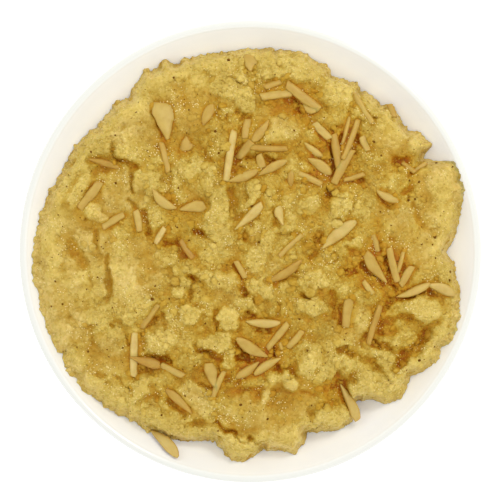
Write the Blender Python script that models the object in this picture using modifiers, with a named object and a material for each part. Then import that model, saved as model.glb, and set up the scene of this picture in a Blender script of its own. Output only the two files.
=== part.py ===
# Suji halwa heaped in a shallow white dish, with slivered almonds on top.
# Run with: blender --background --python part.py
# Metres, +Z up. The origin is on the table, under the middle of the dish.

import math

import bmesh
import bpy
from mathutils import Matrix, Vector, noise
from mathutils.bvhtree import BVHTree

MM = 0.001

# Dish: a coupe shape, flat in the middle and curving up to a rolled rim
DISH_DIAMETER = 190 * MM
DISH_HEIGHT = 30 * MM
DISH_WALL = 3.5 * MM
DISH_FLOOR = 6 * MM            # top of the floor above the table
WALL_LEAN = math.radians(56)   # how far the wall has turned up where it meets the rim
FOOT_DIAMETER = 109 * MM
FOOT_WIDTH = 4.5 * MM
FOOT_RECESS = 2 * MM           # height of the base inside the foot ring
FOOT_CHAMFER = 0.4 * MM
DISH_STEPS = 64
WALL_STEPS = 5                 # facets up the wall's inner face
OUTER_WALL_STEPS = 4

# Halwa: a domed heap that fills the dish
CROWN_HEIGHT = 39.5 * MM       # middle of the heap above the table, without its lumps
SHOULDER_HEIGHT = 32 * MM      # the same where the dome meets the heap's broken edge
DOME_POWER = 2.4               # above 2 the heap is flatter in the middle and fuller at the edge
EDGE_RUN = 0.9                 # how far in the edge reaches its full height, against that height
RELIEF_RUN = 6 * MM            # how far in the lumps and hollows reach theirs
TOUCH_GAP = 0.3 * MM           # halwa to dish
HEAP_CELLS = 50                # cells across the heap's top
EDGE_PULL = 6                  # how sharply the cells' pull towards the ragged outline falls off inwards
SHARP_ANGLE = math.radians(50)
UNDERSIDE_RINGS = (0.8, 0.58)  # share of the heap's radius at each ring of the underside

# Crumbly unevenness between the larger forms
CLUMP_SIZE = 9 * MM
CLUMP_HEIGHT = 1.9 * MM
CLUMP_FADE = 0.8               # how much weaker each finer layer of clumps is
CLUMP_SHRINK = 2               # how much smaller its clumps are
CLUMP_LAYERS = 3
EDGE_CLUMP_SIZE = 5 * MM
EDGE_CLUMP_DEPTH = 0.9 * MM

# Almonds: kernels cut lengthways
ALMOND_THICKNESS = 2.0 * MM
ALMOND_SIDES = 6
ALMOND_END = 0.45              # thickness at a sliver's ends against its middle
SECTION_PLACES = (-0.5, -0.3, 0.3, 0.5)   # where a sliver's four sections are, along its length
STICK_SHAPE = (0.45, 1, 1, 0.45)      # width of a stick at those sections
FLAKE_SHAPE = (0.2, 0.55, 1, 0.6)     # width of a flake there, from its point to its broad end
ALMOND_LIFT = 0.25             # share of the thickness that the middle lies above the halwa
TESTED_PLACES = (0.25, 0.5, 0.75)     # where along a sliver the halwa under it is measured
OVERHANG_GAP = 3 * MM          # dish to the middle of an almond whose end is past the heap's edge

# The heap's outline seen from above, in millimetres from the dish's axis, from the right and to the left round
OUTLINE = (
    (81, -0.5), (83.5, 4), (86, 11), (87, 20), (86.2, 26.8), (84.8, 30.8), (82.6, 36.4), (78.5, 40), (73, 37.5),
    (74, 41), (74.5, 44), (69.5, 50), (65.5, 49.5), (62, 55), (59, 60.5), (52.5, 63), (46, 67), (43.5, 70),
    (34, 73), (32.5, 77), (25, 79.5), (19, 82), (10, 83.5), (8, 85), (3, 84), (-8, 83.3), (-18, 81.5),
    (-27, 79.8), (-31.5, 77), (-35, 79), (-41, 74.5), (-45, 74), (-47.5, 69), (-50.5, 63.7), (-55, 62),
    (-60, 56), (-68, 48.5), (-75, 39.5), (-80.5, 27.5), (-84.5, 21), (-88, 11), (-89.3, 2), (-89.6, -6),
    (-87.8, -15.5), (-86, -24), (-83, -34), (-79, -41.5), (-76.5, -46), (-73, -51), (-68, -58), (-62, -61.5),
    (-59, -65), (-51, -69.5), (-45, -73.5), (-38, -75.5), (-28, -79), (-17, -79), (-14.5, -79.5), (-11, -83.3),
    (-4, -87), (3.5, -83.5), (9, -82), (17.5, -84), (20.5, -80.5), (23.5, -75), (34, -74.5), (40, -72),
    (44, -66), (43, -62.5), (50, -61.2), (56, -63.3), (62, -61), (66.5, -52), (76, -45.5), (80.5, -38.5),
    (84.4, -31.8), (86, -24), (86, -14), (84.5, -6),
)

# Raised lumps: x, y, radius, height in millimetres
LUMPS = (
    (-2, 62, 7, 3.2), (-15, 66, 8, 1.6), (15, 50, 12, 1.6), (1, 23, 6, 2.2), (-12, 7, 7, 3.4), (-14, 18, 7, 1.8),
    (-22, 33, 9, 1.6), (15, 28, 9, 1.4), (37, 20, 6, 2), (6, 3, 7, 1.6), (-10, -11, 8, 2.4), (3, -17, 7, 2.2),
    (25, -12, 7, 2.8), (26, -21, 7, 3), (-24, -26, 7, 3), (-9, -27, 6, 2.8), (-33, -36, 8, 2.8), (-15, -36, 7, 2.6),
    (-2, -36, 6, 1.8), (-18, -48, 6, 2), (25, -47, 8, 3), (12, -54, 6, 2), (50, -17, 8, 2.2), (71, -24, 9, 3.6),
    (64, -33, 7, 2), (77, -35, 6, 2), (78, 29, 11, 1.8), (62, 8, 12, 1.2), (-65, 17, 7, 1.6), (-66, 28, 6, 1.2),
    (-50, -11, 14, 1.4), (-44, 30, 7, 1.8), (-50, 44, 8, 1.6), (-22, -62, 8, 1.6), (3, -64, 10, 2), (52, -55, 7, 2),
    (33, -70, 7, 1.4), (-5, -82, 7, 1.2), (38, 62, 7, 1.6), (8, 75, 7, 1.4), (-75, -14, 9, 1.2), (-60, -36, 9, 1.4),
)

# Hollows and holes between the lumps: x, y, radius, depth
HOLLOWS = (
    (17, 61, 7, 4), (-12, 56, 7, 1.8), (-55, 38, 9, 2.6), (-55, 22, 12, 2.4), (-63, 35, 7, 2), (-31, 3, 6, 3.6),
    (-24.5, -11.5, 5, 4.4), (-22, -18, 5, 2.4), (-20, 7.5, 5, 3.8), (-3, 7, 5, 3), (-35, -45, 6, 3.6),
    (-20, -41, 5, 3), (-12, -43, 5, 2.6), (-3, -43.5, 6, 4), (10, -41, 5, 4), (12, -48.5, 5, 3.6), (-8, -55, 7, 2.2),
    (37, -50, 8, 3.8), (32, -61, 8, 3), (26, -68, 6, 3), (52, -50, 5, 2.4), (34, -20, 6, 3.6), (26.5, 2, 7, 4),
    (13, -12, 6, 3), (-4, -16, 5, 2.6), (-1, -26, 5, 3.8), (5, -31.5, 5, 3), (64.5, 25, 5, 3.2), (63, 37, 8, 3.2),
    (32.5, 24, 6, 3.2), (32, 41, 6, 2.6), (-6, 34, 5, 2.4), (38.5, -7, 6, 2.4), (-72, 0, 6, 1.6), (-70, -30, 8, 2),
    (-42, 9, 6, 2.6), (55, 17, 7, 1.6), (42, -2, 5, 1.8), (57, 57, 6, 2), (-10, -73, 7, 2.6), (-30, -73, 9, 1.6),
    (-57, -30, 5, 1.8), (15, -66, 9, 1.4),
)

# Clefts: width, depth, then the line that each follows
CLEFTS = (
    (5, 4, ((73, -31), (67, -39), (60, -47))),
    (4, 3, ((58, -18), (66, -18), (76, -17))),
    (4, 2, ((-58.5, -3), (-58, -11), (-59, -20))),
    (4, 2.4, ((-48, 37), (-48, 22), (-44, 12), (-40, 5))),
    (4, 2, ((66, 22), (69, 10))),
)

# Almonds, cut as sticks: start x, y, end x, y and width
STICKS = (
    (-36.3, 44.5, -33, 32.2, 2.5), (-66.7, 38, -53.5, 34.2, 3), (-19, 52, -15.5, 59.5, 4), (-6.4, 49, -10, 28.6, 3.5),
    (-1, 54, -2.5, 46, 3.2), (7, 53, 1, 45, 4), (4, 63.2, 17, 64.5, 4), (16, 68, 29, 58, 4), (20.5, 59, 27, 56.5, 4),
    (0, 42.5, 15, 41.8, 3), (3, 40, 5, 34, 3.6), (22.5, 44, 29, 38.5, 3.2), (24, 38, 32, 32, 4), (26, 52.5, 33, 46, 4),
    (42, 65, 50.5, 52, 3.5), (45, 47, 48, 41, 3.5), (34, 47, 36.5, 33, 4), (44, 53.5, 37, 38, 3), (42, 40, 34, 27, 4),
    (57, 61, 59, 55, 3.5), (-61, 28.5, -70, 17, 4.4), (-52, 15.5, -60.5, 10, 3.4), (-47, 16.5, -45.5, 8.5, 3.2),
    (-34.5, 9.5, -38.5, 3.5, 3), (-40, 23.5, -30.5, 17, 3.4), (-37, -21, -43, -31, 3), (-8.5, 28.7, 2.5, 32.5, 4),
    (3, 31, 14, 36, 4), (-6, 9, 4, 18.5, 3.3), (10, 18, 13.5, 12, 4), (11.5, -2, 21, 7, 2.8), (7, -12, 20.7, -4, 4),
    (-5.5, -3.5, -2, -10.5, 3), (-2, -28.5, 12, -29, 3.5), (29.5, 1.5, 42.4, 12, 5), (19.5, 32, 29, 27.4, 3),
    (51.5, 25, 60, 21, 3.3), (46.5, 0, 55, -12, 5), (56.5, 1.5, 60, -12.5, 3.5), (66, -6, 61, -14, 3.6),
    (59.5, -18.5, 73, -13.5, 3.5), (72.5, -14, 83, -17.5, 4), (46, -12, 50, -17.5, 3), (40.5, -19, 39, -31, 4.4),
    (53, -22, 48, -38, 3), (-47.3, -33, -47.8, -51.5, 3.5), (-49.5, -43, -36.7, -46.5, 3.6),
    (-36.7, -46, -27.2, -50.8, 3.2), (-34.4, -56.7, -23.6, -66.5, 3.2), (-10.6, -48.7, -15.5, -59.5, 2.8),
    (-5.3, -36, 6.8, -42.6, 4.2), (3, -45.3, -5.6, -51.8, 4), (12.2, -43.6, 1.8, -50.5, 3.6),
    (15.4, -29.2, 6.4, -40, 3.5), (21.4, -32.2, 14.9, -39.7, 3.5), (36.8, -54.8, 45, -69, 3.6),
    (-42.8, -70.8, -29.9, -84, 4),
)

# Almonds, cut as broad flakes: narrow end x, y, broad end x, y, width of the broad end
FLAKES = (
    (-34, 46, -37, 60.5, 8.5), (-26, 46, -26, 41, 5.5), (-30, 17.8, -19, 20, 5), (-65, 19, -61, 13, 5),
    (-13.5, -56, -18.5, -46, 5.5), (-3.5, 76, 3, 78.5, 6),
)

# Radius of the rolled rim, and the arc of the wall's inner face that meets it
RIM_RADIUS = DISH_WALL / 2
MOUTH_RADIUS = DISH_DIAMETER / 2 - RIM_RADIUS * (1 + math.sin(WALL_LEAN))
MOUTH_HEIGHT = DISH_HEIGHT - RIM_RADIUS * (1 - math.cos(WALL_LEAN))
BOWL_ARC = (MOUTH_HEIGHT - DISH_FLOOR) / (1 - math.cos(WALL_LEAN))
FLOOR_RADIUS = MOUTH_RADIUS - BOWL_ARC * math.sin(WALL_LEAN)


def clear_scene():
    for item in list(bpy.data.objects):
        bpy.data.objects.remove(item, do_unlink=True)


def new_collection(name):
    group = bpy.data.collections.new(name)
    bpy.context.scene.collection.children.link(group)
    return group


def new_material(name, colour, roughness):
    material = bpy.data.materials.new(name)
    material.use_nodes = True
    shader = material.node_tree.nodes["Principled BSDF"]
    shader.inputs["Base Color"].default_value = (*colour, 1)
    shader.inputs["Roughness"].default_value = roughness
    shader.inputs["Metallic"].default_value = 0
    return material


def smoothstep(value):
    value = min(max(value, 0), 1)
    return value * value * (3 - 2 * value)


# Dish


def wall_arc(radius, start, end, steps):
    """Points on an arc about the wall's centre, by the angle that the wall has turned up."""
    centre_height = DISH_FLOOR + BOWL_ARC
    turns = [start + (end - start) * step / steps for step in range(steps + 1)]
    return [(FLOOR_RADIUS + radius * math.sin(turn), centre_height - radius * math.cos(turn)) for turn in turns]


def dish_inside(radius):
    """Height of the dish's inner face at a distance from its axis, where its facets are highest."""
    radius = min(max(radius / math.cos(math.pi / DISH_STEPS), FLOOR_RADIUS), MOUTH_RADIUS)
    wall = wall_arc(BOWL_ARC, 0, WALL_LEAN, WALL_STEPS)
    for (near, low), (far, high) in zip(wall, wall[1:]):
        if radius <= far:
            return low + (high - low) * (radius - near) / (far - near)
    return MOUTH_HEIGHT


def dish_profile():
    """Half section from the middle of the floor, over the rim and down to the middle of the base."""
    points = [(0, DISH_FLOOR)]
    points += wall_arc(BOWL_ARC, 0, WALL_LEAN, WALL_STEPS)

    rim_x = MOUTH_RADIUS + RIM_RADIUS * math.sin(WALL_LEAN)
    rim_z = MOUTH_HEIGHT - RIM_RADIUS * math.cos(WALL_LEAN)
    quarter = math.pi / 2
    for turn in (quarter + WALL_LEAN / 2, quarter, quarter / 2, 0):
        points.append((rim_x + RIM_RADIUS * math.cos(turn), rim_z + RIM_RADIUS * math.sin(turn)))

    outer_arc = BOWL_ARC + DISH_WALL
    foot_outer = FOOT_DIAMETER / 2
    foot_turn = math.asin((foot_outer - FLOOR_RADIUS) / outer_arc)
    points += wall_arc(outer_arc, WALL_LEAN, foot_turn, OUTER_WALL_STEPS)

    foot_inner = foot_outer - FOOT_WIDTH
    points.append((foot_outer, FOOT_CHAMFER))
    points.append((foot_outer - FOOT_CHAMFER, 0))
    points.append((foot_inner, 0))
    points.append((foot_inner - FOOT_CHAMFER, FOOT_RECESS))
    points.append((0, FOOT_RECESS))
    return points


def make_dish(group):
    mesh = bpy.data.meshes.new("dish")
    bm = bmesh.new()
    verts = [bm.verts.new((x, 0, z)) for x, z in dish_profile()]
    for first, second in zip(verts, verts[1:]):
        bm.edges.new((first, second))
    bm.to_mesh(mesh)
    bm.free()

    dish = bpy.data.objects.new("dish", mesh)
    group.objects.link(dish)
    screw = dish.modifiers.new("turn", "SCREW")
    screw.angle = math.tau
    screw.steps = DISH_STEPS
    screw.render_steps = DISH_STEPS
    screw.use_merge_vertices = True
    screw.merge_threshold = 0.01 * MM
    screw.use_smooth_shade = True
    mesh.materials.append(new_material("glazed white", (0.86, 0.85, 0.82), 0.12))
    return dish


# Halwa


def outline_table():
    """The outline as angle and radius, sorted by angle."""
    table = []
    for x, y in OUTLINE:
        table.append((math.atan2(y, x) % math.tau, math.hypot(x, y) * MM))
    return sorted(table)


OUTLINE_TABLE = outline_table()
MEAN_RADIUS = sum(radius for angle, radius in OUTLINE_TABLE) / len(OUTLINE_TABLE)


def edge_radius(angle):
    """Distance of the heap's crumbly edge from the axis, between the outline's points."""
    angle %= math.tau
    before = OUTLINE_TABLE[-1][0] - math.tau, OUTLINE_TABLE[-1][1]
    for after in OUTLINE_TABLE + [(OUTLINE_TABLE[0][0] + math.tau, OUTLINE_TABLE[0][1])]:
        if angle <= after[0]:
            break
        before = after
    share = (angle - before[0]) / (after[0] - before[0])
    radius = before[1] + (after[1] - before[1]) * share
    place = Vector((math.cos(angle), math.sin(angle), 0)) * MEAN_RADIUS / EDGE_CLUMP_SIZE
    return radius + EDGE_CLUMP_DEPTH * noise.noise(place)


def rounded_bump(distance, reach):
    """One in the middle of a lump and nothing past its reach."""
    if distance >= reach:
        return 0
    return (1 - (distance / reach) ** 2) ** 2


def distance_to_line(place, start, end):
    along = end - start
    share = min(max((place - start).dot(along) / along.length_squared, 0), 1)
    return (place - start - along * share).length


def relief(x, y):
    """Height of the lumps, hollows and clefts at a place."""
    height = CLUMP_HEIGHT * noise.fractal(Vector((x, y, 0)) / CLUMP_SIZE, CLUMP_FADE, CLUMP_SHRINK, CLUMP_LAYERS)
    for lump_x, lump_y, radius, rise in LUMPS:
        away = math.hypot(x - lump_x * MM, y - lump_y * MM)
        height += rise * MM * rounded_bump(away, radius * MM)
    for hollow_x, hollow_y, radius, depth in HOLLOWS:
        away = math.hypot(x - hollow_x * MM, y - hollow_y * MM)
        height -= depth * MM * rounded_bump(away, radius * MM)
    place = Vector((x, y))
    for width, depth, line in CLEFTS:
        points = [Vector(point) * MM for point in line]
        away = min(distance_to_line(place, a, b) for a, b in zip(points, points[1:]))
        height -= depth * MM * rounded_bump(away, width * MM)
    return height


def dome_height(radius):
    return CROWN_HEIGHT - (CROWN_HEIGHT - SHOULDER_HEIGHT) * (radius / MEAN_RADIUS) ** DOME_POWER


def heap_top(x, y):
    """Height of the halwa's upper surface: a dome whose edge curves down to the dish."""
    radius = math.hypot(x, y)
    edge = edge_radius(math.atan2(y, x))
    inward = max(edge - radius, 0)
    foot = dish_inside(edge) + TOUCH_GAP
    share = min(inward / (EDGE_RUN * (dome_height(edge) - foot)), 1)
    rise = math.sqrt(1 - (1 - share) ** 2)
    return foot + (dome_height(radius) - foot) * rise + relief(x, y) * smoothstep(inward / RELIEF_RUN)


def disc_place(a, b):
    """Turns a place in a square from -1 to 1 into a share of the radius and an angle."""
    if abs(a) > abs(b):
        return abs(a), math.pi / 4 * b / a + (0 if a > 0 else math.pi)
    if b == 0:
        return 0, 0
    return abs(b), math.pi / 2 - math.pi / 4 * a / b + (0 if b > 0 else math.pi)


def make_halwa(group):
    bm = bmesh.new()
    bmesh.ops.create_grid(bm, x_segments=HEAP_CELLS, y_segments=HEAP_CELLS, size=1)
    for vert in bm.verts:
        share, angle = disc_place(vert.co.x, vert.co.y)
        # The ragged outline only pulls at the outer cells, so the middle stays even
        radius = share * (MEAN_RADIUS + (edge_radius(angle) - MEAN_RADIUS) * share ** EDGE_PULL)
        x = radius * math.cos(angle)
        y = radius * math.sin(angle)
        vert.co = (x, y, heap_top(x, y))

    # The underside follows the dish in rings and is closed by one flat face
    border = [edge for edge in bm.edges if edge.is_boundary]
    for share in UNDERSIDE_RINGS:
        ring = bmesh.ops.extrude_edge_only(bm, edges=border)["geom"]
        for vert in [item for item in ring if isinstance(item, bmesh.types.BMVert)]:
            flat = Vector((vert.co.x, vert.co.y)).normalized() * MEAN_RADIUS * share
            vert.co = (flat.x, flat.y, dish_inside(flat.length) + TOUCH_GAP)
        border = [item for item in ring if isinstance(item, bmesh.types.BMEdge) and item.is_boundary]
    bmesh.ops.contextual_create(bm, geom=border)
    bmesh.ops.triangulate(bm, faces=bm.faces)
    bmesh.ops.recalc_face_normals(bm, faces=bm.faces)

    mesh = bpy.data.meshes.new("halwa")
    bm.to_mesh(mesh)
    bm.free()
    halwa = bpy.data.objects.new("halwa", mesh)
    group.objects.link(halwa)
    mesh.materials.append(new_material("moist semolina", (0.62, 0.38, 0.09), 0.4))
    return halwa


# Almonds


def height_on(surface, x, y):
    """Height of the heap's mesh at a place, or of a line a little above the dish at and past the heap's edge."""
    above_dish = dish_inside(math.hypot(x, y)) + OVERHANG_GAP
    hit = surface.ray_cast(Vector((x, y, 2 * CROWN_HEIGHT)), Vector((0, 0, -1)))[0]
    return above_dish if hit is None else max(hit.z, above_dish)


def lying_ends(surface, start, end):
    """Both ends of an almond that lies on the heap, raised so that its middle isn't buried."""
    ends = [Vector((x * MM, y * MM, height_on(surface, x * MM, y * MM))) for x, y in (start, end)]
    sunk = 0
    for share in TESTED_PLACES:
        middle = ends[0].lerp(ends[1], share)
        sunk = max(sunk, height_on(surface, middle.x, middle.y) - middle.z)
    rise = Vector((0, 0, sunk + ALMOND_LIFT * ALMOND_THICKNESS))
    return ends[0] + rise, ends[1] + rise


def make_almond(name, group, low, high, widths):
    """A cut almond from end to end, with its width at the ends and at the two sections between them."""
    bm = bmesh.new()
    bmesh.ops.create_cone(bm, cap_ends=True, segments=ALMOND_SIDES, radius1=0.5, radius2=0.5, depth=1)
    long_edges = [edge for edge in bm.edges if abs(edge.verts[0].co.z - edge.verts[1].co.z) > 0.5]
    bmesh.ops.subdivide_edges(bm, edges=long_edges, cuts=2, use_grid_fill=True)
    for vert in bm.verts:
        section = round((vert.co.z + 0.5) * 3)
        width = widths[section] * MM
        depth = ALMOND_THICKNESS * (ALMOND_END if section in (0, 3) else 1)
        vert.co = (vert.co.x * width, vert.co.y * depth, SECTION_PLACES[section] * (high - low).length)

    along = (high - low).normalized()
    side = Vector((0, 0, 1)).cross(along).normalized()
    up = along.cross(side)
    turn = Matrix((side, up, along)).transposed().to_4x4()
    mesh = bpy.data.meshes.new(name)
    bm.to_mesh(mesh)
    bm.free()
    almond = bpy.data.objects.new(name, mesh)
    almond.matrix_world = Matrix.Translation((low + high) / 2) @ turn
    group.objects.link(almond)
    return almond


def make_almonds(group, halwa):
    surface = BVHTree.FromPolygons([vert.co for vert in halwa.data.vertices],
                                   [face.vertices for face in halwa.data.polygons])
    for kind, pieces, shape in (("stick", STICKS, STICK_SHAPE), ("flake", FLAKES, FLAKE_SHAPE)):
        for number, (x1, y1, x2, y2, width) in enumerate(pieces):
            low, high = lying_ends(surface, (x1, y1), (x2, y2))
            make_almond(f"{kind}_{number}", group, low, high, [width * share for share in shape])


def shade_clumps(halwa):
    halwa.data.shade_smooth()
    halwa.data.set_sharp_from_angle(angle=SHARP_ANGLE)


def join_almonds(halwa, almonds):
    """Fuses the almonds to the halwa they lie on, then removes the loose ones."""
    join = halwa.modifiers.new("join almonds", "BOOLEAN")
    join.operation = "UNION"
    join.operand_type = "COLLECTION"
    join.collection = almonds
    join.solver = "EXACT"
    bpy.context.view_layer.objects.active = halwa
    bpy.ops.object.modifier_apply(modifier=join.name)
    for almond in list(almonds.objects):
        bpy.data.objects.remove(almond, do_unlink=True)
    bpy.data.collections.remove(almonds)


def main():
    clear_scene()
    group = new_collection("suji halwa")
    make_dish(group)
    halwa = make_halwa(group)
    almonds = new_collection("almonds")
    make_almonds(almonds, halwa)
    join_almonds(halwa, almonds)
    shade_clumps(halwa)


main()
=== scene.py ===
# Suji halwa heaped in a white dish, with slivered almonds, seen from straight above.
import math
import random

import bmesh
import bpy
import numpy as np
from mathutils import Matrix, Vector, noise
from mathutils.bvhtree import BVHTree
from mathutils.kdtree import KDTree


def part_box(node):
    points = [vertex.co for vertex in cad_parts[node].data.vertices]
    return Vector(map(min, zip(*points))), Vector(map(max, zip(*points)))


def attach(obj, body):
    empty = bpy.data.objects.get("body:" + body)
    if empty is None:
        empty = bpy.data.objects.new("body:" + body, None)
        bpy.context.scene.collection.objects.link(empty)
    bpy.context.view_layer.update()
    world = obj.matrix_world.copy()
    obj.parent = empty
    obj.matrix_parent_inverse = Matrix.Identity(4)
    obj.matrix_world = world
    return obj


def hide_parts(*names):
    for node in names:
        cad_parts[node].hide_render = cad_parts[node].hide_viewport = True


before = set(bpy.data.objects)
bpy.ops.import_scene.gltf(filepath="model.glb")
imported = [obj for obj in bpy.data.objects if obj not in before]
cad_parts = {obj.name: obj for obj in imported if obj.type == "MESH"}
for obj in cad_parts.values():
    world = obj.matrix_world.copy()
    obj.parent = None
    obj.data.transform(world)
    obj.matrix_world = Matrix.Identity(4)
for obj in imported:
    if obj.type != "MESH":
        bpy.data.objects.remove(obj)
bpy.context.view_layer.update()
mm = 0.001
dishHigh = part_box("dish")[1]
print("stage: frame loaded")


# Small helpers

def newObject(name, mesh):
    made = bpy.data.objects.new(name, mesh)
    bpy.context.scene.collection.objects.link(made)
    return made


def meshFrom(name, bm, smooth=True):
    mesh = bpy.data.meshes.new(name)
    bm.to_mesh(mesh)
    bm.free()
    if smooth:
        mesh.shade_smooth()
    return mesh


def smoothStep(value):
    value = np.clip(value, 0, 1)
    return value * value * (3 - 2 * value)


def placesOf(mesh):
    places = np.empty(len(mesh.vertices) * 3)
    mesh.vertices.foreach_get("co", places)
    return places.reshape(-1, 3)


def normalsOf(mesh):
    normals = np.empty(len(mesh.vertices) * 3, np.float32)
    mesh.vertex_normals.foreach_get("vector", normals)
    return normals.reshape(-1, 3).astype(float)


def movePlaces(mesh, places):
    mesh.vertices.foreach_set("co", places.ravel())
    mesh.update()


def levelPlaces(x, y):
    return np.stack([x, y, np.zeros_like(x)], 1)


def softNoise(places, size, octaves=2):
    # smooth noise from about -1 to 1, its size in metres
    return np.array([noise.fractal(Vector(place), 1.0, 2.0, octaves) for place in places / size])


def cellNoise(places, size):
    # distance to the nearest cell's middle, and how near the border with the next one is
    near = np.array([noise.voronoi(Vector(place))[0][:2] for place in places / size])
    return near[:, 0], near[:, 1] - near[:, 0]


def paint(mesh, name, values):
    # one value for each vertex, read in the material by its name
    layer = mesh.attributes.new(name, "FLOAT", "POINT")
    layer.data.foreach_set("value", np.asarray(values, np.float32))


def painted(mesh, name):
    values = np.empty(len(mesh.vertices), np.float32)
    mesh.attributes[name].data.foreach_get("value", values)
    return values


def joinCopies(name, template, matrices):
    # one smooth mesh of many turned and scaled copies of a template bmesh
    corners = np.array([vert.co for vert in template.verts])
    faces = np.array([[vert.index for vert in face.verts] for face in template.faces])
    template.free()
    turned = np.einsum("nij,vj->nvi", matrices[:, :3, :3], corners) + matrices[:, None, :3, 3]
    indices = faces[None] + (np.arange(len(matrices)) * len(corners))[:, None, None]
    mesh = bpy.data.meshes.new(name)
    mesh.from_pydata(turned.reshape(-1, 3).tolist(), [], indices.reshape(-1, faces.shape[1]).tolist())
    mesh.shade_smooth()
    return mesh, len(corners)


# Shader helpers

def feed(tree, node, inputs):
    # each input is linked to another node's output or takes a plain value
    for label, value in inputs.items():
        if isinstance(value, bpy.types.NodeSocket):
            tree.links.new(value, node.inputs[label])
        else:
            node.inputs[label].default_value = value


def addNode(tree, kind, inputs, **settings):
    node = tree.nodes.new("ShaderNode" + kind)
    for name, value in settings.items():
        setattr(node, name, value)
    feed(tree, node, inputs)
    return node


def newMaterial(name):
    material = bpy.data.materials.new(name)
    material.use_nodes = True
    return material, material.node_tree, material.node_tree.nodes["Principled BSDF"]


def newGroup(name, inputs, outputs):
    group = bpy.data.node_groups.new(name, "ShaderNodeTree")
    for label, value in inputs.items():
        socket = group.interface.new_socket(name=label, in_out="INPUT", socket_type="NodeSocketFloat")
        socket.default_value = value
    for label, kind in outputs.items():
        group.interface.new_socket(name=label, in_out="OUTPUT", socket_type=kind)
    return group, group.nodes.new("NodeGroupInput"), group.nodes.new("NodeGroupOutput")


def objectPlace(tree):
    return addNode(tree, "TexCoord", {}).outputs["Object"]


def attributeValue(tree, name):
    return addNode(tree, "Attribute", {}, attribute_name=name).outputs["Fac"]


def ramp(tree, factor, stops):
    node = addNode(tree, "ValToRGB", {"Fac": factor})
    while len(node.color_ramp.elements) < len(stops):
        node.color_ramp.elements.new(0.5)
    for element, (place, colour) in zip(node.color_ramp.elements, stops):
        element.position = place
        element.color = (*colour, 1)
    return node.outputs["Color"]


def softPattern(tree, place, size, detail=3, roughness=0.55):
    # soft noise whose features are about this size in metres
    inputs = {"Vector": place, "Scale": 1 / size, "Detail": detail, "Roughness": roughness}
    return addNode(tree, "TexNoise", inputs).outputs["Fac"]


def mixColour(tree, blend, factor, first, second):
    inputs = {"Factor": factor, "A": first, "B": second}
    return addNode(tree, "Mix", inputs, data_type="RGBA", blend_type=blend).outputs["Result"]


def mapRange(tree, value, fromLow, fromHigh, toLow=0, toHigh=1):
    inputs = {"Value": value, "From Min": fromLow, "From Max": fromHigh, "To Min": toLow, "To Max": toHigh}
    return addNode(tree, "MapRange", inputs).outputs["Result"]


def bumpNormal(tree, height, strength, depth):
    inputs = {"Height": height, "Strength": strength, "Distance": depth}
    return addNode(tree, "Bump", inputs).outputs["Normal"]


# Camera, light and floor

view = {
    "distance": 1.2,  # above the rim
    "frameWidth": 205.2 * mm,  # what the picture's width spans at the rim
    "sensor": 36,
    "aside": -0.2 * mm,
    "up": 0.6 * mm,
}
light = {
    "place": (0.36, 0.48, 0.92),
    "size": 0.24,
    "power": 2.7,
    "colour": (1, 0.96, 0.88),
    "sky": 1.1,
}
floorLook = {
    "radius": 2.5,
    "sides": 64,
    "colour": (0.93, 0.93, 0.93, 1),
    "roughness": 0.9,
    "glow": 0.3,
}


def makeCamera():
    camera = bpy.data.cameras.new("camera")
    camera.sensor_width = view["sensor"]
    camera.lens = camera.sensor_width * view["distance"] / view["frameWidth"]
    holder = newObject("camera", camera)
    holder.location = (view["aside"], view["up"], dishHigh.z + view["distance"])
    bpy.context.scene.camera = holder


def makeLight():
    lamp = bpy.data.lights.new("key", "AREA")
    lamp.shape = "DISK"
    lamp.size = light["size"]
    lamp.energy = light["power"]
    lamp.color = light["colour"]
    holder = newObject("key", lamp)
    holder.location = light["place"]
    aim = Vector((0, 0, dishHigh.z)) - Vector(light["place"])
    holder.rotation_euler = aim.to_track_quat("-Z", "Y").to_euler()
    world = bpy.data.worlds.new("studio")
    world.use_nodes = True
    background = world.node_tree.nodes["Background"]
    feed(world.node_tree, background, {"Color": (1, 1, 1, 1), "Strength": light["sky"]})
    bpy.context.scene.world = world
    bpy.context.scene.view_settings.view_transform = "Standard"


def makeFloor():
    bm = bmesh.new()
    bmesh.ops.create_circle(bm, cap_ends=True, segments=floorLook["sides"], radius=floorLook["radius"])
    floor = newObject("floor", meshFrom("floor", bm, smooth=False))
    material, tree, shader = newMaterial("paleFloor")
    feed(tree, shader, {
        "Base Color": floorLook["colour"],
        "Roughness": floorLook["roughness"],
        "Emission Color": (1, 1, 1, 1),
        "Emission Strength": floorLook["glow"],
    })
    floor.data.materials.append(material)


makeCamera()
makeLight()
makeFloor()
print("stage: camera, light and floor")


# Dish

dish = {
    "wall": 3.5 * mm,
    "floor": 6 * mm,
    "lean": math.radians(56),  # how far the wall has turned up at the rim
    "foot": 109 * mm,
    "footWidth": 4.5 * mm,
    "recess": 2 * mm,
    "round": 0.4 * mm,
    "insideSteps": 24,
    "rimSteps": 12,
    "outsideSteps": 20,
    "cornerSteps": 3,
    "turnSteps": 192,
    "merge": 0.01 * mm,
    "sharp": math.radians(50),  # a corner from this angle on stays sharp
}
glaze = {
    "cloud": 50 * mm,
    "tones": [(0.35, (0.90, 0.915, 0.91)), (0.65, (0.925, 0.94, 0.94))],
    "rimShadeTone": (0.735, 0.74, 0.69, 1),  # painted shade: greyer round the rim, which gets more light than the inside wall
    "rimFrom": -0.5 * mm,  # both from the mouth outwards
    "rimTo": 1.2 * mm,
    # painted light: inside, the glaze glows a little, most near the halwa, so that it stays nearly white
    # right up to the halwa in spite of the heap's shade
    "glowRadii": (84 * mm, 94 * mm),
    "glow": [(0.15, (0.12, 0.132, 0.158)), (0.55, (0.042, 0.048, 0.062)), (0.85, (0, 0, 0))],
    "roughness": 0.14,
    "coat": 0.15,
    "coatRoughness": 0.03,
}
rimRadius = dish["wall"] / 2
mouthRadius = dishHigh.x - rimRadius * (1 + math.sin(dish["lean"]))
mouthHeight = dishHigh.z - rimRadius * (1 - math.cos(dish["lean"]))
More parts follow.
